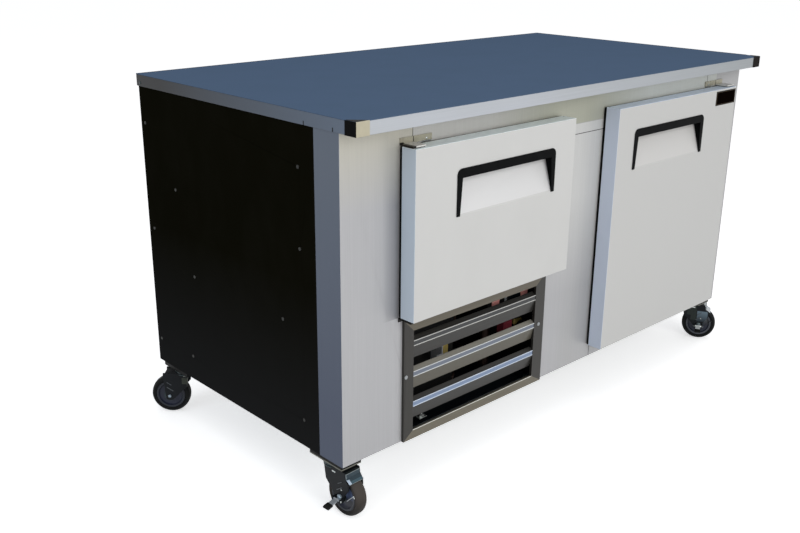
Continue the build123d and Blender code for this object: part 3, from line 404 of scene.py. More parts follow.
class Finishes:
    """Every finish of the object, made once."""

    def __init__(self) -> None:
        """Make the finishes."""
        kinds = self._casing_kinds() + self._fitting_kinds() + self._inner_kinds()
        self.made = {kind.name: kind.material() for kind in kinds}

    def __getitem__(self, name: str) -> bpy.types.Material:
        """One finish by name."""
        return self.made[name]

    @staticmethod
    def _casing_kinds() -> list[Finish]:
        """Worktop, casing and doors."""
        # Painted reflection on the band: its left face near black at the back, turning blue-grey towards the
        # front, and its front face darker towards the right.
        band = (
            Zone("101113", x=(None, -760.5)),
            Zone("5b6777", x=(None, -760.5), fade=(1, 300.0, -400.0)),
            Zone("a2a7aa", x=(-700.0, None), y=(None, -407.0), fade=(0, -300.0, 700.0)),
        )
        # Painted light on the front steel: painted shade on the left stile beside the left door, a painted
        # warm reflection at the head of the left stile, painted shade on the header under the worktop that
        # lightens towards both its ends, the mullion painted lighter upwards against the doors' shade, and
        # painted blue reflection on the left stile's side wrap, darker towards the bottom.
        steel = (
            Zone("909094", x=(-645.0, -598.0), z=(437.0, 813.0), fade=(0, -645.0, -603.0)),
            Zone("c2bfb2", x=(-757.0, -562.0), z=(690.0, None), fade=(2, 690.0, 850.0)),
            Zone("adae9f", x=(-561.5, 633.0), z=(784.0, None)),
            Zone("c0bfbb", x=(-561.5, -100.0), z=(784.0, None), fade=(0, -100.0, -330.0)),
            Zone("c5c8c3", x=(40.0, 633.0), z=(784.0, None), fade=(0, 40.0, 300.0)),
            Zone("d0d0ce", x=(-137.5, 127.5), z=(None, 783.0), fade=(2, 350.0, 600.0)),
            Zone("59626f", x=(None, -757.9)),
            Zone("424b5f", x=(None, -757.9), fade=(2, 800.0, 250.0)),
        )
        # Painted light: the black side panels are painted lighter towards the bottom.
        side = (Zone("242424", fade=(2, 520.0, 150.0)),)
        # Painted light on the door enamel: the whole right door painted darker as shade, painted blue
        # reflection on the doors' left side faces, the door tops painted lighter against the worktop's shade,
        # and the handle recesses painted lighter against their shade.
        door = (
            Zone("cececc", x=(101.0, None)),
            Zone("c8d3de", x=(None, -598.3)),
            Zone("cdd6e6", x=(98.0, 99.7)),
            Zone("f4ffff", z=(812.3, None)),
            Zone("e0eeff", x=(98.0, None), z=(812.3, None)),
            Zone("e4e4e4", x=(-480.0, -145.0), y=(-400.2, -365.0), z=(640.0, 760.0)),
            Zone("d5d4d2", x=(165.0, 505.0), y=(-400.2, -365.0), z=(640.0, 760.0)),
        )
        across, up = Grain.ALONG_X, Grain.ALONG_Z
        return [
            Enamel("worktop_laminate", "556881", "54677f", 0.6, peel=0.03, gloss=0.0),
            BrushedSheet("band_front", "bcc0c7", "b6babd", grain=across, metallic=0.4, zones=band),
            BrushedSheet(
                "front_steel", "b5b5b7", "b2b2b2", grain=up, metallic=0.3, roughness=0.45, zones=steel
            ),
            BrushedSheet("back_steel", "a9abad", "9fa1a3", grain=up, metallic=0.6),
            Enamel("black_panel", "12110a", "15140e", 0.5, gloss=0.0, zones=side),
            Enamel("door_enamel", "d6d6d4", "d4d4d2", 0.35, peel=0.03, zones=door),
            Moulded("handle_plastic", "0a0b0c", "0e0f10", 0.5, gloss=0.03),
            Moulded("gasket_rubber", "080808", "0d0d0d", 0.6, gloss=0.1),
        ]

    @staticmethod
    def _fitting_kinds() -> list[Finish]:
        """Casters, caps, screws and hinges: rubber, plastic and plated steel."""
        # Painted light: the front left tyre is painted lighter and browner towards its top.
        tyres = (Zone("47423e", x=(None, -600.0), y=(None, 0.0), fade=(2, 4.0, 62.0)),)
        # Painted light: the front hubs are painted lighter towards their tops, blue on the left caster and
        # grey on the right.
        hubs = (
            Zone("7d8fb8", x=(None, -600.0), y=(None, 0.0), fade=(2, 42.0, 70.0)),
            Zone("505458", x=(600.0, None), y=(None, 0.0), fade=(2, 44.0, 60.0)),
        )
        # Painted highlight: the front right caster's hub rings are painted lighter.
        rims = (Zone("50535a", x=(600.0, None), y=(None, 0.0)),)
        # Painted light on the black forks: grey-green and blue lit patches on the front right, a grey-green
        # patch and a pale highlight on the rear left.
        forks = (
            Zone("2e3432", x=(698.5, 713.0), y=(None, 0.0), z=(80.0, None)),
            Zone("2e3432", x=(704.5, 713.0), y=(None, 0.0), z=(64.0, 82.0)),
            Zone("3f423b", x=(-751.0, -737.0), y=(0.0, None), z=(86.0, 104.0)),
            Zone("8a8d86", x=(-748.0, -738.0), y=(0.0, None), z=(107.5, None)),
            Zone("6d7f8b", x=(714.0, 730.0), y=(None, 0.0), z=(60.0, 95.0), fade=(2, 56.0, 92.0)),
        )
        # Painted light and shade on the guards: the lower flare lighter, the flat top darker, a painted
        # highlight at the front left guard's lower corner, and the front right guard painted bright.
        guards = (
            Zone("3c5560", z=(None, 98.0)),
            Zone("2b3433", z=(113.2, None)),
            Zone("b4c4d4", x=(None, -744.5), z=(None, 101.0)),
            Zone("b6bcc0", x=(600.0, None)),
        )
        # Painted shade: the front right spring is painted dark.
        springs = (Zone("17191c", x=(0.0, None)),)
        # Painted shade: the right casters' nuts are painted darker.
        nuts = (Zone("4f5b5e", x=(600.0, None)),)
        # Painted highlight: the front right pedal is painted near white.
        pedals = (Zone("f2f6f6", x=(0.0, None)),)
        screws = (Zone("a2a6a8", y=(None, -356.0)),)
        # Painted light and shade on the brackets: their front painted lighter, and a dark strip by the left
        # hinge's pin painted where the gap below lies in shade.
        hinges = (
            Zone("d6d5d1", y=(None, -357.0)),
            Zone("1a1815", x=(-600.0, -590.0), z=(None, 820.0)),
        )
        # The pad above z 126 is black; the rear plates are painted black as painted shade.
        pads = (Zone("0f0f0e", z=(126.0, None)), Zone("0c0c0c", y=(0.0, None)))
        # Painted reflection on the caps: the left cap's left face painted black, the right cap painted dark
        # brown.
        caps = (Zone("0b0b0b", x=(None, -762.3)), Zone("1a1614", x=(700.0, None)))
        return [
            Moulded(
                "tyre_rubber", "0b0d0e", "131414", 0.62, grain=0.0014, relief=0.35, gloss=0.12, zones=tyres
            ),
            Moulded("hub_plastic", "262a3a", "141a28", 0.3, zones=hubs),
            Moulded("rim_plastic", "2c3038", "23262d", 0.35, zones=rims),
            Moulded("black_plastic", "101010", "171716", 0.45, gloss=0.1),
            Moulded("dark_gap", "0c0c0d", "141414", 0.8),
            Plated("polished_cap", "c4bda6", "cdc7b2", 0.3, metallic=0.0, amount=0.3, gloss=0.02, zones=caps),
            Plated("zinc", "9aa0a2", "5f6a6c", 0.26, metallic=0.8, amount=0.8),
            Plated("dark_zinc", "2a3234", "3c4c50", 0.3, metallic=0.7, amount=0.9),
            Enamel("fork_black", "15171a", "1d2023", 0.4, peel=0.05, gloss=0.1, zones=forks),
            Plated("guard_zinc", "22333d", "33484f", 0.35, metallic=0.4, zones=guards),
            Enamel("rib_grey", "5e6366", "4b5053", 0.4, gloss=0.2),
            Plated("guard_edge", "8d9698", "6d777a", 0.3, metallic=0.5),
            Plated("spring_steel", "b9bec0", "a4a9ab", 0.3, metallic=0.4, zones=springs),
            Plated("nut_zinc", "8c9ba6", "7c8a94", 0.3, metallic=0.4, zones=nuts),
            Plated("pedal_zinc", "a2a8ae", "8b9298", 0.35, metallic=0.4, zones=pedals),
            Plated("bright_zinc", "b9bdbb", "8d9698", 0.22, metallic=0.8, amount=0.6),
            Plated("pad_zinc", "6e6e66", "8a897e", 0.5, metallic=0.1, amount=0.8, gloss=0.1, zones=pads),
            Plated("screw_zinc", "30302e", "3c3c3a", 0.4, metallic=0.1, gloss=0.1, zones=screws),
            Plated("hinge_steel", "a9a593", "8a8676", 0.3, metallic=0.3, gloss=0.2, zones=hinges),
        ]

    @staticmethod
    def _inner_kinds() -> list[Finish]:
        """Grille, machinery, linings and small marks."""
        # Painted reflection on the blades: bands of grey, beige and blue across their noses and flanges.
        blades = (
            Zone("3a3b3c", z=(361.4, 374.0)),
            Zone("87847a", z=(298.4, 310.0)),
            Zone("6f7683", z=(286.9, 298.4)),
            Zone("5a564b", z=(250.0, 286.9)),
            Zone("7f90ac", z=(212.4, 224.1)),
        )
        # Painted highlight: the lips are painted brighter the lower they lie.
        lips = (
            Zone("d8dcdc", z=(None, 320.0)),
            Zone("d5e0ee", z=(None, 240.0)),
            Zone("e8e8e0", z=(None, 170.0)),
        )
        cores = (Zone("8f9193", z=(None, 861.4)),)
        # Painted shade: the boards are painted black in the machine bay and on their front faces, where they
        # show between the blades.
        boards = (Zone("0e0e0f", x=(None, -101.5), z=(None, 425.5)), Zone("0e0e0f", y=(None, -346.0)))
        across, back, up = Grain.ALONG_X, Grain.ALONG_Y, Grain.ALONG_Z
        return [
            # Painted light and shade: lighter head and foot bars, dark upright bars.
            MitredBars("grille_frame", "5f594c", "6a6455", "2a2824"),
            BrushedSheet(
                "grille_blades", "2e2c28", "292723", grain=across, metallic=0.3, roughness=0.36, zones=blades
            ),
            BrushedSheet(
                "grille_lip", "d0d0cc", "c8c8c4", grain=across, metallic=0.4, roughness=0.25, zones=lips
            ),
            BrushedSheet("liner_metal", "c4c6c7", "b9bbbc", grain=up, metallic=0.5, roughness=0.42),
            BrushedSheet("galvanised", "8f9496", "7d8284", grain=back, metallic=0.6, roughness=0.45),
            Enamel("compressor_black", "101011", "191817", 0.35, peel=0.12, gloss=0.1),
            Enamel("shelf_coat", "d9dad8", "cfd0ce", 0.35, peel=0.1),
            Enamel("core_board", "b59b72", "a58a62", 0.8, peel=0.2, zones=cores),
            Enamel("foam", "dfcf9e", "d2c08a", 0.9, peel=0.4, gloss=0.05, zones=boards),
            # Painted light: the red rockers are painted pale pink, as if lit.
            Enamel("rocker_red", "ffb0a8", "f8a49c", 0.35),
            # Painted shade: the copper is painted near black, as it lies in shade behind the grille.
            Plated("copper", "2e1d14", "1d130d", 0.35, metallic=0.6),
            Plated("brass", "c9b36a", "9c8848", 0.3, metallic=0.6),
            FinStack("condenser_fins", "161616", "060606", 0),
            FinStack("evaporator_fins", "a9b0b4", "5a6165", 1),
            Lamp("display_face", "0a1418", 0.0, 0.12),
            Enamel("key_white", "b9bcbc", "9fa2a3", 0.5),
            Enamel("yellow_tag", "b5a05a", "a08c4c", 0.6),
            Enamel("red_part", "8c3440", "6f2632", 0.5),
            Enamel("grey_bracket", "c0c2c6", "a8aaae", 0.5),
            Enamel("nameplate", "0c0705", "0a0604", 0.4, gloss=0.0),
            Enamel("tray_coat", "0d1114", "12171b", 0.4, gloss=0.05),
            Plated("gold_line", "4a3a20", "3a2c18", 0.4, metallic=0.3),
        ]


# ---- Mesh building --------------------------------------------------------------------------
class Shape:
    """A mesh under construction, in millimetres in the row frame."""

    def __init__(self, place: Matrix = Matrix.Identity(4)) -> None:
        """Start empty, with the matrix that carries local points to the row frame."""
        self.bm = bmesh.new()
        self.place = place

    def spot(self, x: float, y: float, z: float) -> bmesh.types.BMVert:
        """Add a point."""
        return self.bm.verts.new(self.place @ Vector((x, y, z)))

    def slab(self, low: Point, high: Point) -> "Shape":
        """Box between two corners."""
        spots = [[self.spot(x, y, z) for x, y in self._ring(low, high)] for z in (low[2], high[2])]
        return self.skin(spots, closed_ends=True)

    @staticmethod
    def _ring(low: Point, high: Point) -> list[tuple[float, float]]:
        """Corners of a rectangle, anticlockwise."""
        return [(low[0], low[1]), (high[0], low[1]), (high[0], high[1]), (low[0], high[1])]

    def skin(self, rings: list[list[bmesh.types.BMVert]], closed_ends: bool) -> "Shape":
        """Faces between rings of points, with or without end faces."""
        count = len(rings[0])
        for lower, upper in zip(rings, rings[1:]):
            for i in range(count):
                j = (i + 1) % count
                self.bm.faces.new((lower[i], lower[j], upper[j], upper[i]))
        if closed_ends:
            self.bm.faces.new(list(reversed(rings[0])))
            self.bm.faces.new(rings[-1])
        return self

    def prism(self, outline: Sequence[tuple[float, float]], x0: float, x1: float) -> "Shape":
        """Outline of (y, z) points swept along X."""
        rings = [[self.spot(x, y, z) for y, z in outline] for x in (x0, x1)]
        return self.skin(rings, closed_ends=True)

    def lathe(self, profile: Sequence[tuple[float, float]], centre: Point, steps: int = 64) -> "Shape":
        """Closed profile of (radius, y) points turned about an axis along Y.

        Args:
            profile: points of the section, as a closed loop.
            centre: a point of the axis.
            steps: flats round the axis.

        Returns:
            The shape itself.
        """
        rings = []
        for i in range(steps):
            turn = 2 * math.pi * i / steps
            ring = [
                self.spot(centre[0] + r * math.cos(turn), centre[1] + y, centre[2] + r * math.sin(turn))
                for r, y in profile
            ]
            rings.append(ring)
        return self.skin(rings + [rings[0]], closed_ends=False)

    def border(self, low: Point, high: Point, wide: float, short: float) -> "Shape":
        """Four strips round an upright rectangle; the two at the sides stop short of its ends."""
        (x0, y0, z0), (x1, y1, z1) = low, high
        self.slab((x0, y0, z0), (x1, y1, z0 + wide))
        self.slab((x0, y0, z1 - wide), (x1, y1, z1))
        self.slab((x0, y0, z0 + short), (x0 + wide, y1, z1 - short))
        return self.slab((x1 - wide, y0, z0 + short), (x1, y1, z1 - short))

    def tube(self, line: Sequence[Point], radius: float, sides: int = 12) -> "Shape":
        """Round bar along a line of points."""
        rings = []
        for i, spot in enumerate(line):
            before = Vector(line[max(i - 1, 0)])
            after = Vector(line[min(i + 1, len(line) - 1)])
            run = (after - before).normalized()
            first = run.orthogonal().normalized() if i == 0 else (first - run * first.dot(run)).normalized()
            second = run.cross(first)
            ring = []
            for k in range(sides):
                turn = 2 * math.pi * k / sides
                off = Vector(spot) + (first * math.cos(turn) + second * math.sin(turn)) * radius
                ring.append(self.spot(*off))
            rings.append(ring)
        return self.skin(rings, closed_ends=True)

    def ring(self, centre: Point, radius: float, wire: float, steps: int = 30) -> "Shape":
        """Round wire bent to a full circle across X."""
        line = []
        for i in range(steps + 1):
            turn = math.radians(360.0 * i / steps)
            line.append((centre[0], centre[1] + radius * math.cos(turn), centre[2] + radius * math.sin(turn)))
        return self.tube(line, wire, 10)

    @staticmethod
    def bend(x: float, side: float, y: float, z: float, radius: float) -> list[Point]:
        """Line of an upright U bend that leaves a face at x towards one side."""
        start = 4.0
        turns = [math.radians(a) for a in range(-90, 91, 15)]
        arc = [(x + side * (start + radius * math.cos(a)), y, z + radius * math.sin(a)) for a in turns]
        return [(x, y, z - radius)] + arc + [(x, y, z + radius)]

    def bolt(self, foot: Point, along: Point, radius: float, height: float, sides: int = 6) -> "Shape":
        """Bolt head or nut with a low dome.

        Args:
            foot: middle of its seat.
            along: direction it stands in.
            radius: radius over the corners.
            height: height of the head.
            sides: flats round it.

        Returns:
            The shape itself.
        """
        run = Vector(along).normalized()
        first = run.orthogonal().normalized()
        second = run.cross(first)
        rings = []
        for rise, wide in ((0.0, 1.0), (0.72 * height, 1.0), (height, 0.78), (height * 1.18, 0.34)):
            ring = []
            for k in range(sides):
                turn = 2 * math.pi * (k + 0.5) / sides
                off = (first * math.cos(turn) + second * math.sin(turn)) * radius * wide
                ring.append(self.spot(*(Vector(foot) + run * rise + off)))
            rings.append(ring)
        return self.skin(rings, closed_ends=True)

    def piece(
        self, name: str, finish: bpy.types.Material, body: str, round_off: float = 0.0
    ) -> bpy.types.Object:
        """Turn the shape into a piece that rides on a body.

        Args:
            name: the piece's name.
            finish: its material.
            body: the body that carries it.
            round_off: edge radius in millimetres, 0 for none.

        Returns:
            The piece.
        """
        bmesh.ops.recalc_face_normals(self.bm, faces=self.bm.faces)
        bmesh.ops.scale(self.bm, vec=(MM, MM, MM), verts=self.bm.verts)
        mesh = bpy.data.meshes.new(name)
        self.bm.to_mesh(mesh)
        self.bm.free()
        mesh.shade_smooth()
        mesh.set_sharp_from_angle(angle=math.radians(35))
        mesh.materials.append(finish)
        made = bpy.data.objects.new(name, mesh)
        bpy.context.scene.collection.objects.link(made)
        if round_off:
            soften(made, round_off)
        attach(made, body)
        LOG.info("%s rides %s", name, body)
        return made


def soften(thing: bpy.types.Object, radius: float, steps: int = 2) -> None:
    """Round the sharp edges of a piece.

    Args:
        thing: the object.
        radius: edge radius in millimetres.
        steps: flats across each rounded edge.
    """
    weld = thing.modifiers.new("weld", "WELD")
    weld.merge_threshold = 0.00001
    edge = thing.modifiers.new("round", "BEVEL")
    edge.width = radius * MM
    edge.segments = steps
    edge.limit_method = "ANGLE"
    edge.angle_limit = math.radians(40)
    edge.harden_normals = True


class Frame:
    """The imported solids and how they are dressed."""

    def __init__(self, nodes: dict[str, bpy.types.Object], finishes: Finishes) -> None:
        """Keep the nodes and the finishes."""
        self.nodes = nodes
        self.finishes = finishes

    def dress(self, finish: str, names: Iterable[str], round_off: float = 0.0) -> None:
        """Give nodes a finish.

        Args:
            finish: the finish's name.
            names: the nodes.
            round_off: edge radius in millimetres, 0 for none.
        """
        for name in names:
            node = self.nodes[name]
            for number in range(len(node.material_slots)):
                node.material_slots[number].material = self.finishes[finish]
            if round_off:
                soften(node, round_off)
            LOG.info("%s wears %s", name, finish)


# ---- Sub-assemblies -------------------------------------------------------------------------
@dataclass
class Worktop:
    """Laminate top in its steel band, with a cap on each front corner."""

    left: float = -762.0
    right: float = 762.0
    front: float = -408.4
    back: float = 409.6
    top: float = 890.0
    edge_shade_width: float = 2.6
    edge_shade_start: float = 40.0
    slot_spots: tuple[float, ...] = (-249.5, -340.0)
    slot_z: float = 865.5
    slot_half_width: float = 1.4
    slot_half_height: float = 4.2
    cap_reach: float = 29.0
    cap_inset: float = 0.4
    rivet: Point = (-762.0, 393.0, 869.0)

    def build(self, frame: Frame) -> None:
        """Dress the solids and add the dark edge strip, the gussets, the slots and the rivet."""
        f = frame.finishes
        frame.dress("worktop_laminate", ["worktop_panel"], 0.5)
        frame.dress("band_front", ["worktop_edge_trim"], 0.9)
        frame.dress("core_board", ["worktop_core"])
        frame.dress("polished_cap", ["worktop_corner_caps"], 0.5)
        self.edge_shade(f)
        self.gussets(f)
        self.slots(f)
        section = [(0.01, -0.2), (4.2, -0.2), (4.0, 0.7), (2.4, 1.3), (0.01, 1.5)]
        rivet = Shape(Matrix.Translation(self.rivet) @ Matrix.Rotation(math.pi / 2, 4, "Z"))
        rivet.lathe(section, ORIGIN, 24).piece("band_rivet", f["dark_zinc"], "cabinet")

    def edge_shade(self, f: Finishes) -> None:
        """Dark strip along the back and the right end of the top: painted shade at those edges."""
        wide, low, high = self.edge_shade_width, self.top - 0.2, self.top + 0.5
        edge_shade = Shape()
        edge_shade.slab((self.left, self.back - wide, low), (self.right, self.back, high))
        start = (self.right - wide, self.front + self.edge_shade_start, low)
        edge_shade.slab(start, (self.right, self.back - wide, high))
        edge_shade.piece("worktop_edge_shade", f["dark_gap"], "cabinet", 0.2)

    def gussets(self, f: Finishes) -> None:
        """Dark triangle on top of each front corner, between the cap's two arms."""
        gussets = Shape()
        for x, side in ((self.left, 1.0), (self.right, -1.0)):
            near, far = x + side * self.cap_inset, x + side * self.cap_reach
            y0, y1 = self.front + self.cap_inset, self.front + self.cap_reach
            ends = ((near, y1), (near, y0), (far, y0))
            rings = [[gussets.spot(*end, self.top + lift) for end in ends] for lift in (-0.3, 0.7)]
            gussets.skin(rings, closed_ends=True)
        gussets.piece("corner_gussets", f["dark_gap"], "cabinet")

    def slots(self, f: Finishes) -> None:
        """Two upright slots in the left face of the band."""
        slots = Shape()
        wide, tall = self.slot_half_width, self.slot_half_height
        for y in self.slot_spots:
            low = (self.left - 0.25, y - wide, self.slot_z - tall)
            slots.slab(low, (self.left + 0.2, y + wide, self.slot_z + tall))
        slots.piece("band_slots", f["dark_gap"], "cabinet", 0.1)


@dataclass
class Casing:
    """Sheet panels of the cabinet, its fasteners and its seams."""

    front: float = -353.4
    seam: float = 1.5
    upright_seams: tuple[Point, ...] = ((-562.0, 785.0, 860.6), (583.0, 785.0, 860.6), (113.0, 132.4, 196.0))
    level_seam: Point = (-137.0, 127.0, 758.0)

    def build(self, frame: Frame) -> None:
        """Dress the panels and lay the dark seams."""
        fronts = ["left_stile", "right_stile", "front_header", "centre_mullion", "bottom_rail"]
        frame.dress("front_steel", fronts, 0.4)
        frame.dress("black_panel", ["left_side_panel", "right_side_panel"], 0.3)
        frame.dress("back_steel", ["back_panel"])
        frame.dress("galvanised", ["base_pan"])
        frame.dress("tray_coat", ["unit_tray", "drain_pan"])
        frame.dress("foam", ["insulation_boards", "left_door_core", "right_door_core"])
        linings = ["inner_liner", "left_door_liner", "right_door_liner", "shelf_standards"]
        frame.dress("liner_metal", linings)
        frame.dress("screw_zinc", ["casing_screws"], 0.3)
        seams = Shape()
        y0, y1 = self.front - 0.12, self.front + 0.1
        half = self.seam / 2
        for x, foot, head in self.upright_seams:
            seams.slab((x - half, y0, foot), (x + half, y1, head))
        start, end, z = self.level_seam
        seams.slab((start, y0, z - half), (end, y1, z + half))
        seams.piece("casing_seams", frame.finishes["dark_gap"], "cabinet")


@dataclass
class Door:
    """One door: enamelled pan, scoop handle, gasket and its small marks."""

    side: str
    x0: float
    x1: float
    z0: float
    z1: float
    plate: bool = False
    front: float = -401.4
    back: float = -361.4
    flap_inset: float = 1.0
    flap_width: float = 7.0
    flap_depth: float = 6.0
    bead_inset: float = 44.0
    bead_width: float = 9.0
    bead_height: float = 2.2
    plate_low: tuple[float, float] = (557.0, 769.0)
    plate_high: tuple[float, float] = (658.0, 808.0)
    plate_sheet: float = 0.9
    rim_inset: float = 2.6

    def build(self, frame: Frame) -> None:
        """Dress the solids and add the gasket's flap, the corner cuts, any plate and the bead."""
        f = frame.finishes
        body = f"{self.side}_door"
        frame.dress("door_enamel", [f"{body}_skin"], 0.45)
        frame.dress("handle_plastic", [f"{body}_handle"], 0.8)
        frame.dress("gasket_rubber", [f"{body}_gasket"], 1.0)
        flap = Shape()
        low, high = self.within(self.flap_inset, self.back - 0.2, self.back + self.flap_depth)
        flap.border(low, high, self.flap_width, short=self.flap_width)
        flap.piece(f"{body}_gasket_flap", f["gasket_rubber"], body, 0.5)
        self.corner_cuts(f, body)
        if self.plate:
            self.nameplate(f, body)
        bead = Shape()
        low, high = self.within(self.bead_inset, self.back - 0.2, self.back + self.bead_height)
        bead.border(low, high, self.bead_width, short=0.0)
        bead.piece(f"{body}_liner_bead", f["liner_metal"], body, 1.4)

    def within(self, inset: float, y0: float, y1: float) -> tuple[Point, Point]:
        """Corners of a box that lies an inset inside the door's outline."""
        return (self.x0 + inset, y0, self.z0 + inset), (self.x1 - inset, y1, self.z1 - inset)

    def corner_cuts(self, f: Finishes, body: str) -> None:
        """Dark relief cuts in the top edge of the pan, where its folds meet."""
        cuts = Shape()
        low, high = self.z1 - 0.2, self.z1 + 0.15
        for x in (self.x0 + 4.0, self.x1 - 4.0):
            cuts.slab((x - 1.3, self.back - 7.0, low), (x + 1.3, self.back - 4.0, high))
        cuts.slab((self.x0 + 1.0, self.front + 3.0, low), (self.x0 + 3.4, self.front + 5.0, high))
        cuts.piece(f"{body}_corner_cuts", f["dark_gap"], body)

    def nameplate(self, f: Finishes, body: str) -> None:
        """Bare dark plate with a fine raised line round it."""
        (x0, z0), (x1, z1) = self.plate_low, self.plate_high
        plate = Shape()
        plate.slab((x0, self.front - self.plate_sheet, z0), (x1, self.front + 0.1, z1))
        plate.piece(f"{body}_nameplate", f["nameplate"], body, 0.4)
        rim = Shape()
        y, inset = self.front - self.plate_sheet - 0.05, self.rim_inset
        left, right, foot, head = x0 + inset, x1 - inset, z0 + inset, z1 - inset
        for z in (foot, head):
            rim.tube([(left, y, z), (right, y, z)], 0.45, 8)
        for x in (left, right):
            rim.tube([(x, y, foot), (x, y, head)], 0.45, 8)
        rim.piece(f"{body}_nameplate_rim", f["gold_line"], body)


@dataclass
class Grille:
    """Louvred grille with rolled lips on its blades, whose bright tone is painted highlight."""

    x0: float = -557.0
    x1: float = -138.0
    foot: float = 153.0
    front: float = -359.4
    noses: tuple[float, ...] = (373.0, 298.5, 224.0)
    nose_height: float = 11.5
    lip: float = 1.1
    foot_lip: float = 0.9

    def build(self, frame: Frame) -> None:
        """Dress the bars and blades and add the bright lips."""
        f = frame.finishes
        frame.dress("grille_frame", ["grille_frame"], 0.35)
        frame.dress("grille_blades", ["grille_slats"], 0.25)
        # Bright tubes along the blades' noses and the foot bar: rolled edges with painted highlights.
        lips = Shape()
        for nose in self.noses:
            for z in (nose, nose - self.nose_height):
                line = [(self.x0 + 0.5, self.front - 0.2, z), (self.x1 - 0.5, self.front - 0.2, z)]
                lips.tube(line, self.lip, 10)
        foot = [(self.x0, self.front - 0.5, self.foot), (self.x1, self.front - 0.5, self.foot)]
        lips.tube(foot, self.foot_lip, 10)
        lips.piece("grille_blade_lips", f["grille_lip"], "cabinet")


@dataclass
class Caster:
    """One caster: pressed fork, moulded hub, rubber tyre and, in front, a side brake.

    Its own axes have the swivel's axis as Z and the wheel out along X.
    """

    name: str
    x: float
    y: float
    turn: float
    braked: bool
    trail: float = 40.0
    radius: float = 50.8
    half: float = 15.0
    hub: float = 38.0
    crown: float = 116.7
    sheet: float = 3.0
    leg_inner: float = 19.0
    leg_sheet: float = 3.6
    pin_y: float = -32.0
    pin_z: float = 47.8
    pin_half: float = 10.0
    ear_inner: float = 10.3
    ear_sheet: float = 3.0
    ear_half: float = 5.0
    ear_reach: float = 36.0
    race_z: float = 120.0

    def place(self) -> Matrix:
        """Matrix from the caster's own axes to the row frame."""
        return Matrix.Translation((self.x, self.y, 0.0)) @ Matrix.Rotation(math.radians(self.turn), 4, "Z")

    def across(self) -> Matrix:
        """Matrix that turns a prism so that its outline is (distance along X, height)."""
        return self.place() @ Matrix.Rotation(-math.pi / 2, 4, "Z")

    def upright(self, height: float) -> Matrix:
        """Matrix that stands a lathed shape on the swivel's axis."""
        return self.place() @ Matrix.Translation((0.0, 0.0, height)) @ Matrix.Rotation(math.pi / 2, 4, "X")

    def build(self, frame: Frame) -> None:
        """Build the wheel, the fork and the pedal in place of their plain solids, and the trim."""
        f = frame.finishes
        self.wheel(f)
        self.fork(f)
        self.trim(f)
        if self.braked:
            self.guard(f)
            self.pedal(f)

    def wheel(self, f: Finishes) -> None:
        """Tyre, hub and the raised ring on each side of the hub."""
        centre = (self.trail, 0.0, self.radius)
        wheel = f"{self.name}_wheel"
        r, h = self.radius, self.half
        side = [
            (r - 0.9, 9.0), (r - 3.0, 12.6), (r - 6.0, h), (r - 7.6, h - 0.2), (r - 8.4, h - 1.1),
            (r - 10.4, h - 1.1), (r - 11.2, h - 0.3), (self.hub + 0.6, h - 0.6), (self.hub, h - 1.6),
        ]
        profile = [(r, 0.0), (r - 0.15, 5.0)] + side
        profile += [(a, -b) for a, b in reversed(side)] + [(r - 0.15, -5.0)]
        tyre = Shape(self.place()).lathe(profile, centre, 72)
        made = tyre.piece(f"{self.name}_tyre", f["tyre_rubber"], wheel)
        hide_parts(wheel)
        dish = [
            (self.hub - 0.2, h - 2.6), (32.4, h - 2.8), (30.0, h - 6.0), (17.0, h - 6.4),
            (13.6, h - 5.0), (12.6, h - 0.8), (9.6, h - 0.4), (9.0, h + 3.2), (5.3, h + 3.4),
        ]
        hub = Shape(self.place()).lathe(dish + [(a, -b) for a, b in reversed(dish)], centre, 64)
        hub.piece(f"{self.name}_hub", f["hub_plastic"], wheel)
        rims = Shape(self.place())
        loop = [(37.6, h - 2.4), (37.2, h - 1.2), (35.0, h - 0.7), (32.8, h - 1.4), (32.4, h - 2.6)]
        for side in (-1.0, 1.0):
            rims.lathe([(a, side * b) for a, b in loop], centre, 64)
        rims.piece(f"{self.name}_rim_rings", f["rim_plastic"], wheel)

    def fork(self, f: Finishes) -> None:
        """Crown and wide legs with their ribs and, on a braked caster, the ears of the pedal."""
        carrier = f"{self.name}_caster"
        low = self.crown - self.sheet
        disc = [(6.4, -3.0), (25.2, -3.0), (26.0, -2.2), (26.0, -0.8), (25.2, 0.0), (6.4, 0.0)]
        crown = Shape(self.upright(low)).lathe(disc, ORIGIN, 48)
        made = crown.piece(f"{self.name}_crown", f["dark_zinc"], carrier)
        legs = Shape(self.across())
        for start in (-self.leg_inner - self.leg_sheet, self.leg_inner):
            legs.prism(self.leg_outline(), start, start + self.leg_sheet)
        bridge = [(8.0, low), (52.0, low), (52.0, low - 2.2), (8.0, low - 2.2)]
        legs.prism(bridge, -self.leg_inner, self.leg_inner)
        if self.braked:
            foot, head = self.pin_z - self.ear_half, self.pin_z + self.ear_half
            for start in (-self.ear_inner - self.ear_sheet, self.ear_inner):
                x0, x1 = self.trail + start, self.trail + start + self.ear_sheet
                ear = [(x0, foot), (x1, foot), (x1, head), (x0, head)]
                legs.prism(ear, self.leg_inner + self.leg_sheet, self.ear_reach)
        legs.piece(f"{self.name}_fork_legs", f["fork_black"], carrier, 0.5)
        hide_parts(f"{self.name}_fork")
        # The ribs are grey against the black legs: painted highlights on pressed ribs.
        ribs = Shape(self.place())
        out = self.leg_inner + self.leg_sheet + 0.3
        for y in (-out, out):
            ribs.tube([(47.0, y, 76.5), (30.0, y, 65.0)], 1.1, 8)
            ribs.tube([(46.0, y, 90.0), (34.0, y, 82.0)], 0.9, 8)
        ribs.piece(f"{self.name}_fork_ribs", f["rib_grey"], carrier)

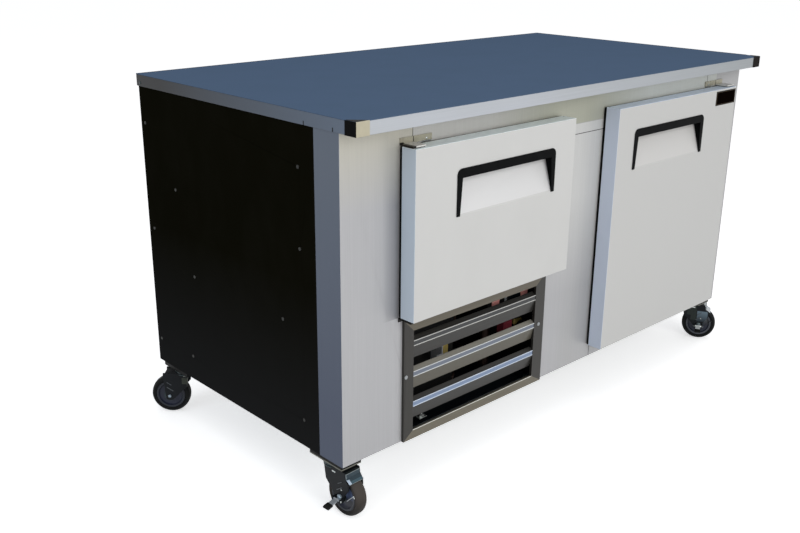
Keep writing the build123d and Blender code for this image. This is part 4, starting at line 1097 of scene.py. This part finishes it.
    def leg_outline(self) -> list[tuple[float, float]]:
        """Outline of a leg from the crown down to the axle and back."""
        t, r, top = self.trail, self.radius, self.crown - 1.0
        flank = [(57.0, 102.0), (66.0, 90.0), (67.0, 76.0)] if self.braked else [(56.0, 102.0), (53.0, 82.0)]
        foot = [(t + 12.0, r + 5.0), (t + 9.0, r - 10.0), (t + 2.0, r - 13.0), (t - 8.0, r - 12.0)]
        return [(-13.0, top), (55.0, top)] + flank + foot + [(-7.0, 79.0)]

    def guard(self, f: Finishes) -> None:
        """Guard over the tread with its edges, a rivet, the pin's heads and the spring; the edges are painted
        bright as highlights, and a bright slab on the outer leg is a painted glint.
        """
        carrier, ear = f"{self.name}_caster", self.ear_inner + self.ear_sheet
        section = [
            (20.0, 113.6), (59.0, 113.6), (60.0, 102.8), (72.4, 94.6),
            (71.2, 92.8), (57.8, 101.8), (56.9, 111.4), (20.0, 111.4),
        ]
        guard = Shape(self.across()).prism(section, -18.0, 22.0)
        guard.piece(f"{self.name}_guard", f["guard_zinc"], carrier, 0.3)
        edges = Shape(self.place())
        # Rounded fold edges in a bright tone: painted highlights.
        edges.tube([(59.2, 17.6, 113.5), (59.2, -21.8, 113.5), (60.1, -21.8, 102.8)], 0.75, 8)
        edges.tube([(72.0, 17.6, 93.7), (72.0, -21.8, 93.7)], 0.6, 8)
        edges.piece(f"{self.name}_guard_edges", f["guard_edge"], carrier)
        rivets = Shape(self.place())
        # Bright slab on the outer leg: a painted glint.
        rivets.slab((15.0, -23.6, 104.6), (26.0, -22.4, 108.4))
        rivets.bolt((45.0, -22.4, 70.0), (0.0, -1.0, 0.0), 2.0, 1.6, 12)
        for side in (-1.0, 1.0):
            rivets.bolt((self.trail + side * ear, self.pin_y, self.pin_z), (side, 0.0, 0.0), 2.8, 1.2, 12)
        rivets.piece(f"{self.name}_fork_rivets", f["bright_zinc"], carrier, 0.5)
        line = [(57.0, -17.2, 45.0), (58.0, -17.2, 46.0), (78.0, -17.2, 66.0), (80.0, -17.2, 60.5)]
        spring = Shape(self.place()).tube(line, 0.9, 8)
        spring.piece(f"{self.name}_brake_spring", f["spring_steel"], carrier)

    def pedal(self, f: Finishes) -> None:
        """Side pedal on its barrel, with a plastic grip."""
        t, lever = self.trail, f"{self.name}_brake"
        plate = [(-29.5, 49.2), (-34.0, 49.2), (-51.0, 45.2), (-51.0, 42.2), (-34.0, 46.4), (-29.5, 46.4)]
        tongue = Shape(self.place()).prism(plate, t - 8.0, t + 6.0)
        barrel = [(t + along, self.pin_y, self.pin_z) for along in (-self.pin_half, self.pin_half)]
        tongue.tube(barrel, 2.4, 16)
        made = tongue.piece(f"{self.name}_brake_tongue", f["pedal_zinc"], lever, 0.4)
        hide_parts(lever)
        section = [(-50.0, 46.0), (-62.0, 43.4), (-65.5, 40.4), (-64.0, 37.4), (-50.0, 41.0)]
        grip = Shape(self.place()).prism(section, t - 10.0, t + 8.0)
        grip.piece(f"{self.name}_brake_grip", f["black_plastic"], lever, 1.2)

    def trim(self, f: Finishes) -> None:
        """Axle with its nuts, thread guards and the raceway's ring."""
        t, r = self.trail, self.radius
        carrier = f"{self.name}_caster"
        face = self.leg_inner + self.leg_sheet - 0.1
        nuts = Shape(self.place())
        nuts.bolt((t, face, r), (0.0, 1.0, 0.0), 4.4, 4.0)
        nuts.bolt((t, -face, r), (0.0, -1.0, 0.0), 7.0, 5.0)
        nuts.piece(f"{self.name}_axle_nuts", f["nut_zinc"], carrier, 0.3)
        end = face - 0.1
        axle = Shape(self.place()).tube([(t, -end, r), (t, end, r)], 4.9, 20)
        axle.piece(f"{self.name}_axle", f["zinc"], carrier)
        rings = Shape(self.place())
        washer = [(9.6, 18.2), (15.5, 18.2), (15.5, 18.8), (9.6, 18.8)]
        for side in (-1.0, 1.0):
            rings.lathe([(a, side * b) for a, b in washer], (t, 0.0, r), 40)
        rings.piece(f"{self.name}_thread_guards", f["dark_zinc"], carrier)
        section = [(25.8, -3.4), (27.0, -2.6), (27.0, 2.6), (25.8, 3.4), (24.0, 3.4), (24.0, -3.4)]
        race = Shape(self.upright(self.race_z)).lathe(section, ORIGIN, 48)
        race.piece(f"{self.name}_race_ring", f["dark_zinc"], "cabinet")


@dataclass
class MachineBay:
    """Condensing unit behind the grille and its controls."""

    panel_y: float = -320.4
    key_rows: tuple[float, ...] = (364.5, 369.5, 374.5, 379.5)
    key_half: float = 1.6
    coil_ends: tuple[tuple[float, float], ...] = ((-544.0, -1.0), (-324.0, 1.0))
    coil_foot: float = 163.0
    coil_pitch: float = 50.0
    coil_lines: tuple[float, float] = (-247.0, -226.0)
    coil_tube: float = 3.6

    def build(self, frame: Frame) -> None:
        """Dress the machinery and add its details."""
        f = frame.finishes
        plastics = ["fan_shroud", "condenser_fan_motor", "thermostat", "evaporator_fan_motor"]
        frame.dress("condenser_fins", ["condenser_coil"])
        frame.dress("black_plastic", plastics, 0.5)
        frame.dress("compressor_black", ["compressor", "control_box"])
        frame.dress("copper", ["refrigerant_lines"])
        frame.dress("galvanised", ["condenser_fan", "evaporator_fan"])
        frame.dress("rocker_red", ["compressor_switch", "light_switch"], 0.4)
        self.thermostat_face(f)
        self.coil_bends(f)
        self.small_parts(f)

    def thermostat_face(self, f: Finishes) -> None:
        """Window and keys of the thermostat."""
        y, back = self.panel_y, self.panel_y - 2.9
        face = Shape().slab((-198.0, y - 3.6, 360.0), (-156.0, back, 382.0))
        face.piece("thermostat_window", f["display_face"], "cabinet", 0.3)
        keys = Shape()
        for z in self.key_rows:
            keys.slab((-213.5, y - 4.2, z - self.key_half), (-205.5, back, z + self.key_half))
        keys.piece("thermostat_keys", f["key_white"], "cabinet", 0.5)

    def coil_bends(self, f: Finishes) -> None:
        """Copper return bends at both ends of the condenser, a quarter pitch higher on its right."""
        bends = Shape()
        for x, side in self.coil_ends:
            for row in range(4):
                z = self.coil_foot + row * self.coil_pitch + (self.coil_pitch / 4 if side > 0 else 0.0)
                for y in self.coil_lines:
                    bends.tube(Shape.bend(x, side, y, z, self.coil_pitch / 4), self.coil_tube, 10)
        bends.piece("condenser_return_bends", f["copper"], "cabinet")

    @staticmethod
    def small_parts(f: Finishes) -> None:
        """Relay, sensor well, tagged bracket and bolt seen between the blades."""
        relay = Shape()
        relay.slab((-184.0, -300.0, 262.0), (-152.0, -278.0, 294.0))
        relay.slab((-180.0, -302.0, 268.0), (-156.0, -300.0, 288.0))
        relay.piece("start_relay", f["red_part"], "cabinet", 2.0)
        strap = Shape().slab((-176.0, -278.4, 280.0), (-160.0, -276.8, 345.4))
        strap.piece("relay_strap", f["black_plastic"], "cabinet", 0.4)
        well = Shape()
        well.bolt((-131.0, -289.0, 280.0), (0.0, -1.0, 0.0), 8.5, 6.0)
        well.slab((-136.0, -289.5, 276.0), (-101.0, -285.0, 284.0))
        well.piece("sensor_well", f["brass"], "cabinet", 0.4)
        bracket = Shape()
        bracket.slab((-405.0, -300.0, 234.0), (-402.6, -262.0, 300.0))
        bracket.slab((-420.0, -299.0, 250.0), (-402.6, -297.0, 276.0))
        bracket.slab((-402.6, -299.0, 250.0), (-384.0, -297.0, 299.0))
        bracket.piece("sensor_bracket", f["grey_bracket"], "cabinet", 0.5)
        tag = Shape().slab((-401.0, -300.2, 275.0), (-385.0, -298.8, 298.0))
        tag.piece("bracket_tag", f["yellow_tag"], "cabinet", 0.3)
        bolt = Shape()
        bolt.bolt((-494.0, -323.4, 151.5), (0.0, 0.0, 1.0), 6.6, 6.0)
        bolt.bolt((-494.0, -323.4, 157.0), (0.0, 0.0, 1.0), 3.2, 5.0)
        bolt.slab((-506.0, -331.0, 149.8), (-482.0, -316.0, 151.8))
        bolt.piece("tray_bolt", f["bright_zinc"], "cabinet", 0.3)


@dataclass
class ColdBays:
    """Shelves and evaporator inside the cabinet."""

    fan: Point = (-570.5, -73.4, 686.0)
    ring_radii: tuple[float, ...] = (24.0, 42.0, 60.0, 78.0, 96.0)
    ring_wire: float = 1.1
    spoke_turns: tuple[float, ...] = (45.0, 135.0, 225.0, 315.0)
    spoke_wire: float = 1.5
    spoke_span: tuple[float, float] = (20.0, 103.0)

    def build(self, frame: Frame) -> None:
        """Dress the shelves and the evaporator and add the guard of its fan."""
        frame.dress("shelf_coat", ["left_shelf", "right_lower_shelf", "right_upper_shelf"])
        frame.dress("liner_metal", ["evaporator_housing"])
        frame.dress("evaporator_fins", ["evaporator_coil"])
        guard = Shape()
        x, y, z = self.fan
        for radius in self.ring_radii:
            guard.ring(self.fan, radius, self.ring_wire)
        for turn in self.spoke_turns:
            over, up = math.cos(math.radians(turn)), math.sin(math.radians(turn))
            spoke = [(x - 1.6, y + reach * over, z + reach * up) for reach in self.spoke_span]
            guard.tube(spoke, self.spoke_wire, 10)
        guard.piece("evaporator_fan_guard", frame.finishes["bright_zinc"], "cabinet")


@dataclass
class Hardware:
    """Hinge brackets and caster plates.

    Each hinge edge has its x and the way towards the door's middle; spans run from it that way.
    """

    edges: tuple[tuple[float, float], ...] = ((-599.0, 1.0), (662.0, -1.0))
    door_top: float = 813.0
    front: float = -355.9
    bearing: tuple[float, float] = (0.6, 34.0)
    bearing_depth: tuple[float, float] = (-392.6, -364.0)
    fold_gap: tuple[float, float] = (35.8, 37.4)
    foot_gap: tuple[float, float] = (62.0, 88.0)
    lip: tuple[float, float] = (38.5, 88.0)
    screw: float = 74.0

    def build(self, frame: Frame) -> None:
        """Dress the brackets and the plates and add the details of the upper hinges."""
        f = frame.finishes
        bearings, gaps, lips, screws = Shape(), Shape(), Shape(), Shape()
        z, y = self.door_top, self.front
        for edge, inward in self.edges:
            # Black bearing strip under each bracket; it also paints the shade in the gap above the door.
            x0, x1 = sorted(edge + inward * reach for reach in self.bearing)
            bearings.slab((x0, self.bearing_depth[0], z + 0.25), (x1, self.bearing_depth[1], z + 1.95))
            x0, x1 = sorted(edge + inward * reach for reach in self.fold_gap)
            gaps.slab((x0, y - 0.35, z + 2.2), (x1, y + 0.2, z + 15.6))
            # Dark slab under the bracket's foot: painted shade.
            x0, x1 = sorted(edge + inward * reach for reach in self.foot_gap)
            gaps.slab((x0, y - 0.3, z + 0.2), (x1, y + 2.3, z + 3.4))
            # Bright line along the bracket's lower edge: a painted highlight.
            lips.tube([(edge + inward * reach, y - 0.6, z + 2.1) for reach in self.lip], 0.8, 8)
            seat = (edge + inward * self.screw, y + 0.1, z + 7.4)
            screws.bolt(seat, (0.0, -1.0, 0.0), 2.8, 1.3, 16)
        bearings.piece("hinge_bearings", f["black_plastic"], "cabinet", 0.4)
        gaps.piece("hinge_gaps", f["dark_gap"], "cabinet")
        lips.piece("hinge_highlight_line", f["bright_zinc"], "cabinet")
        screws.piece("hinge_screws", f["bright_zinc"], "cabinet")
        frame.dress("hinge_steel", ["door_hinge_brackets"], 0.4)
        frame.dress("pad_zinc", ["caster_plates"], 0.4)


# ---- Studio ---------------------------------------------------------------------------------
@dataclass(frozen=True)
class Viewpoint:
    """Camera with its place in metres and its angles in degrees."""

    place: Point = (-1.9268, -1.7663, 1.2339)
    yaw: float = 43.318
    pitch: float = 19.304
    roll: float = 0.522
    focal_pixels: float = 973.11

    def build(self) -> None:
        """Create the camera."""
        yaw, pitch, roll = (math.radians(a) for a in (self.yaw, self.pitch, self.roll))
        flat = math.cos(pitch)
        ahead = Vector((math.sin(yaw) * flat, math.cos(yaw) * flat, -math.sin(pitch)))
        level = Vector((math.cos(yaw), -math.sin(yaw), 0.0))
        above = level.cross(ahead)
        right = level * math.cos(roll) + above * math.sin(roll)
        up = above * math.cos(roll) - level * math.sin(roll)
        data = bpy.data.cameras.new("viewpoint")
        data.sensor_fit = "HORIZONTAL"
        data.sensor_width = SENSOR
        data.lens = self.focal_pixels / PIC_WIDTH * SENSOR
        data.clip_end = 60.0
        camera = bpy.data.objects.new("viewpoint", data)
        axes = Matrix((right, up, -ahead)).transposed().to_4x4()
        camera.matrix_world = Matrix.Translation(self.place) @ axes
        bpy.context.scene.collection.objects.link(camera)
        bpy.context.scene.camera = camera


@dataclass(frozen=True)
class SoftLight:
    """Square soft box that faces the middle of the object."""

    name: str
    place: Point
    size: float
    power: float
    colour: Colour = WHITE
    aim: Point = (0.0, 0.0, 0.5)

    def build(self) -> None:
        """Create the light."""
        data = bpy.data.lights.new(self.name, "AREA")
        data.shape = "SQUARE"
        data.size = self.size
        data.energy = self.power
        data.color = self.colour[:3]
        light = bpy.data.objects.new(self.name, data)
        light.location = self.place
        light.rotation_euler = (Vector(self.aim) - Vector(self.place)).to_track_quat("-Z", "Y").to_euler()
        bpy.context.scene.collection.objects.link(light)


@dataclass(frozen=True)
class Studio:
    """Pale floor, white surround and soft lights."""

    floor_size: float = 30.0
    ambient: Colour = (0.47, 0.475, 0.49, 1.0)
    floor_tone: float = 0.45
    floor_glow: float = 0.52

    def build(self) -> None:
        """Create the floor, the surround and the lights."""
        bpy.context.scene.view_settings.view_transform = "Standard"
        self.surround()
        self.floor()
        SoftLight("front_box", (-0.8, -4.4, 2.0), 3.2, 100.0, (1.0, 0.99, 0.97, 1.0)).build()
        SoftLight("top_box", (0.0, 0.0, 4.4), 3.2, 24.0).build()
        SoftLight("cool_fill", (-4.5, -0.2, 1.8), 3.0, 36.0, (0.8, 0.9, 1.0, 1.0)).build()

    def _seen(self, graph: Graph) -> Wire:
        """1 for rays that see the surround or the floor directly, in gloss or through glass."""
        paths = graph.node("ShaderNodeLightPath", {}, {}).socket.node
        rays = ("Is Camera Ray", "Is Glossy Ray", "Is Transmission Ray")
        camera, glossy, through = (Wire(graph, paths.outputs[ray]) for ray in rays)
        return (camera + glossy + through).ramp(0.0, 1.0)

    def surround(self) -> None:
        """World that is white to the eye and a soft grey to light with."""
        world = bpy.data.worlds.new("surround")
        world.use_nodes = True
        bpy.context.scene.world = world
        graph = Graph.__new__(Graph)
        graph.tree = world.node_tree
        back = next(n for n in graph.tree.nodes if n.type == "BACKGROUND")
        graph.feed(back.inputs["Color"], graph.blend(self._seen(graph), self.ambient, WHITE))

    def floor(self) -> None:
        """Plain floor that keeps the object's shadow."""
        graph = Graph("floor_paint")
        grey = (self.floor_tone, self.floor_tone, self.floor_tone, 1.0)
        colour = graph.blend(self._seen(graph), grey, WHITE)
        glow = graph.blend(self._seen(graph), (0.0, 0.0, 0.0, 1.0), WHITE)
        graph.finish(
            Base_Color=colour, Roughness=1.0, Emission_Color=glow, Emission_Strength=self.floor_glow
        )
        graph.shader.inputs["Specular IOR Level"].default_value = 0.0
        half = self.floor_size / 2
        mesh = bpy.data.meshes.new("floor")
        corners = [(-half, -half, 0), (half, -half, 0), (half, half, 0), (-half, half, 0)]
        mesh.from_pydata(corners, [], [(0, 1, 2, 3)])
        mesh.materials.append(graph.material)
        floor = bpy.data.objects.new("floor", mesh)
        bpy.context.scene.collection.objects.link(floor)


def main() -> None:
    """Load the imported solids, dress them, add the pieces and light the studio."""
    logging.basicConfig(level=logging.INFO, format="%(message)s")
    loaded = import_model()
    frame = Frame(loaded["nodes"], Finishes())
    assemblies = [
        Worktop(),
        Casing(),
        Door("left", -599.0, -77.0, 439.0, 813.0),
        Door("right", 99.0, 662.0, 169.0, 813.0, plate=True),
        Hardware(),
        Grille(),
        Caster("front_left", -731.0, -295.0, -88.0, True),
        Caster("front_right", 717.0, -295.0, -60.0, True),
        Caster("rear_left", -731.0, 328.0, 135.0, False),
        Caster("rear_right", 717.0, 328.0, 17.2, False),
        MachineBay(),
        ColdBays(),
    ]
    for assembly in assemblies:
        LOG.info("building %s", type(assembly).__name__)
        assembly.build(frame)
    Studio().build()
    Viewpoint().build()


if __name__ == "__main__":
    main()
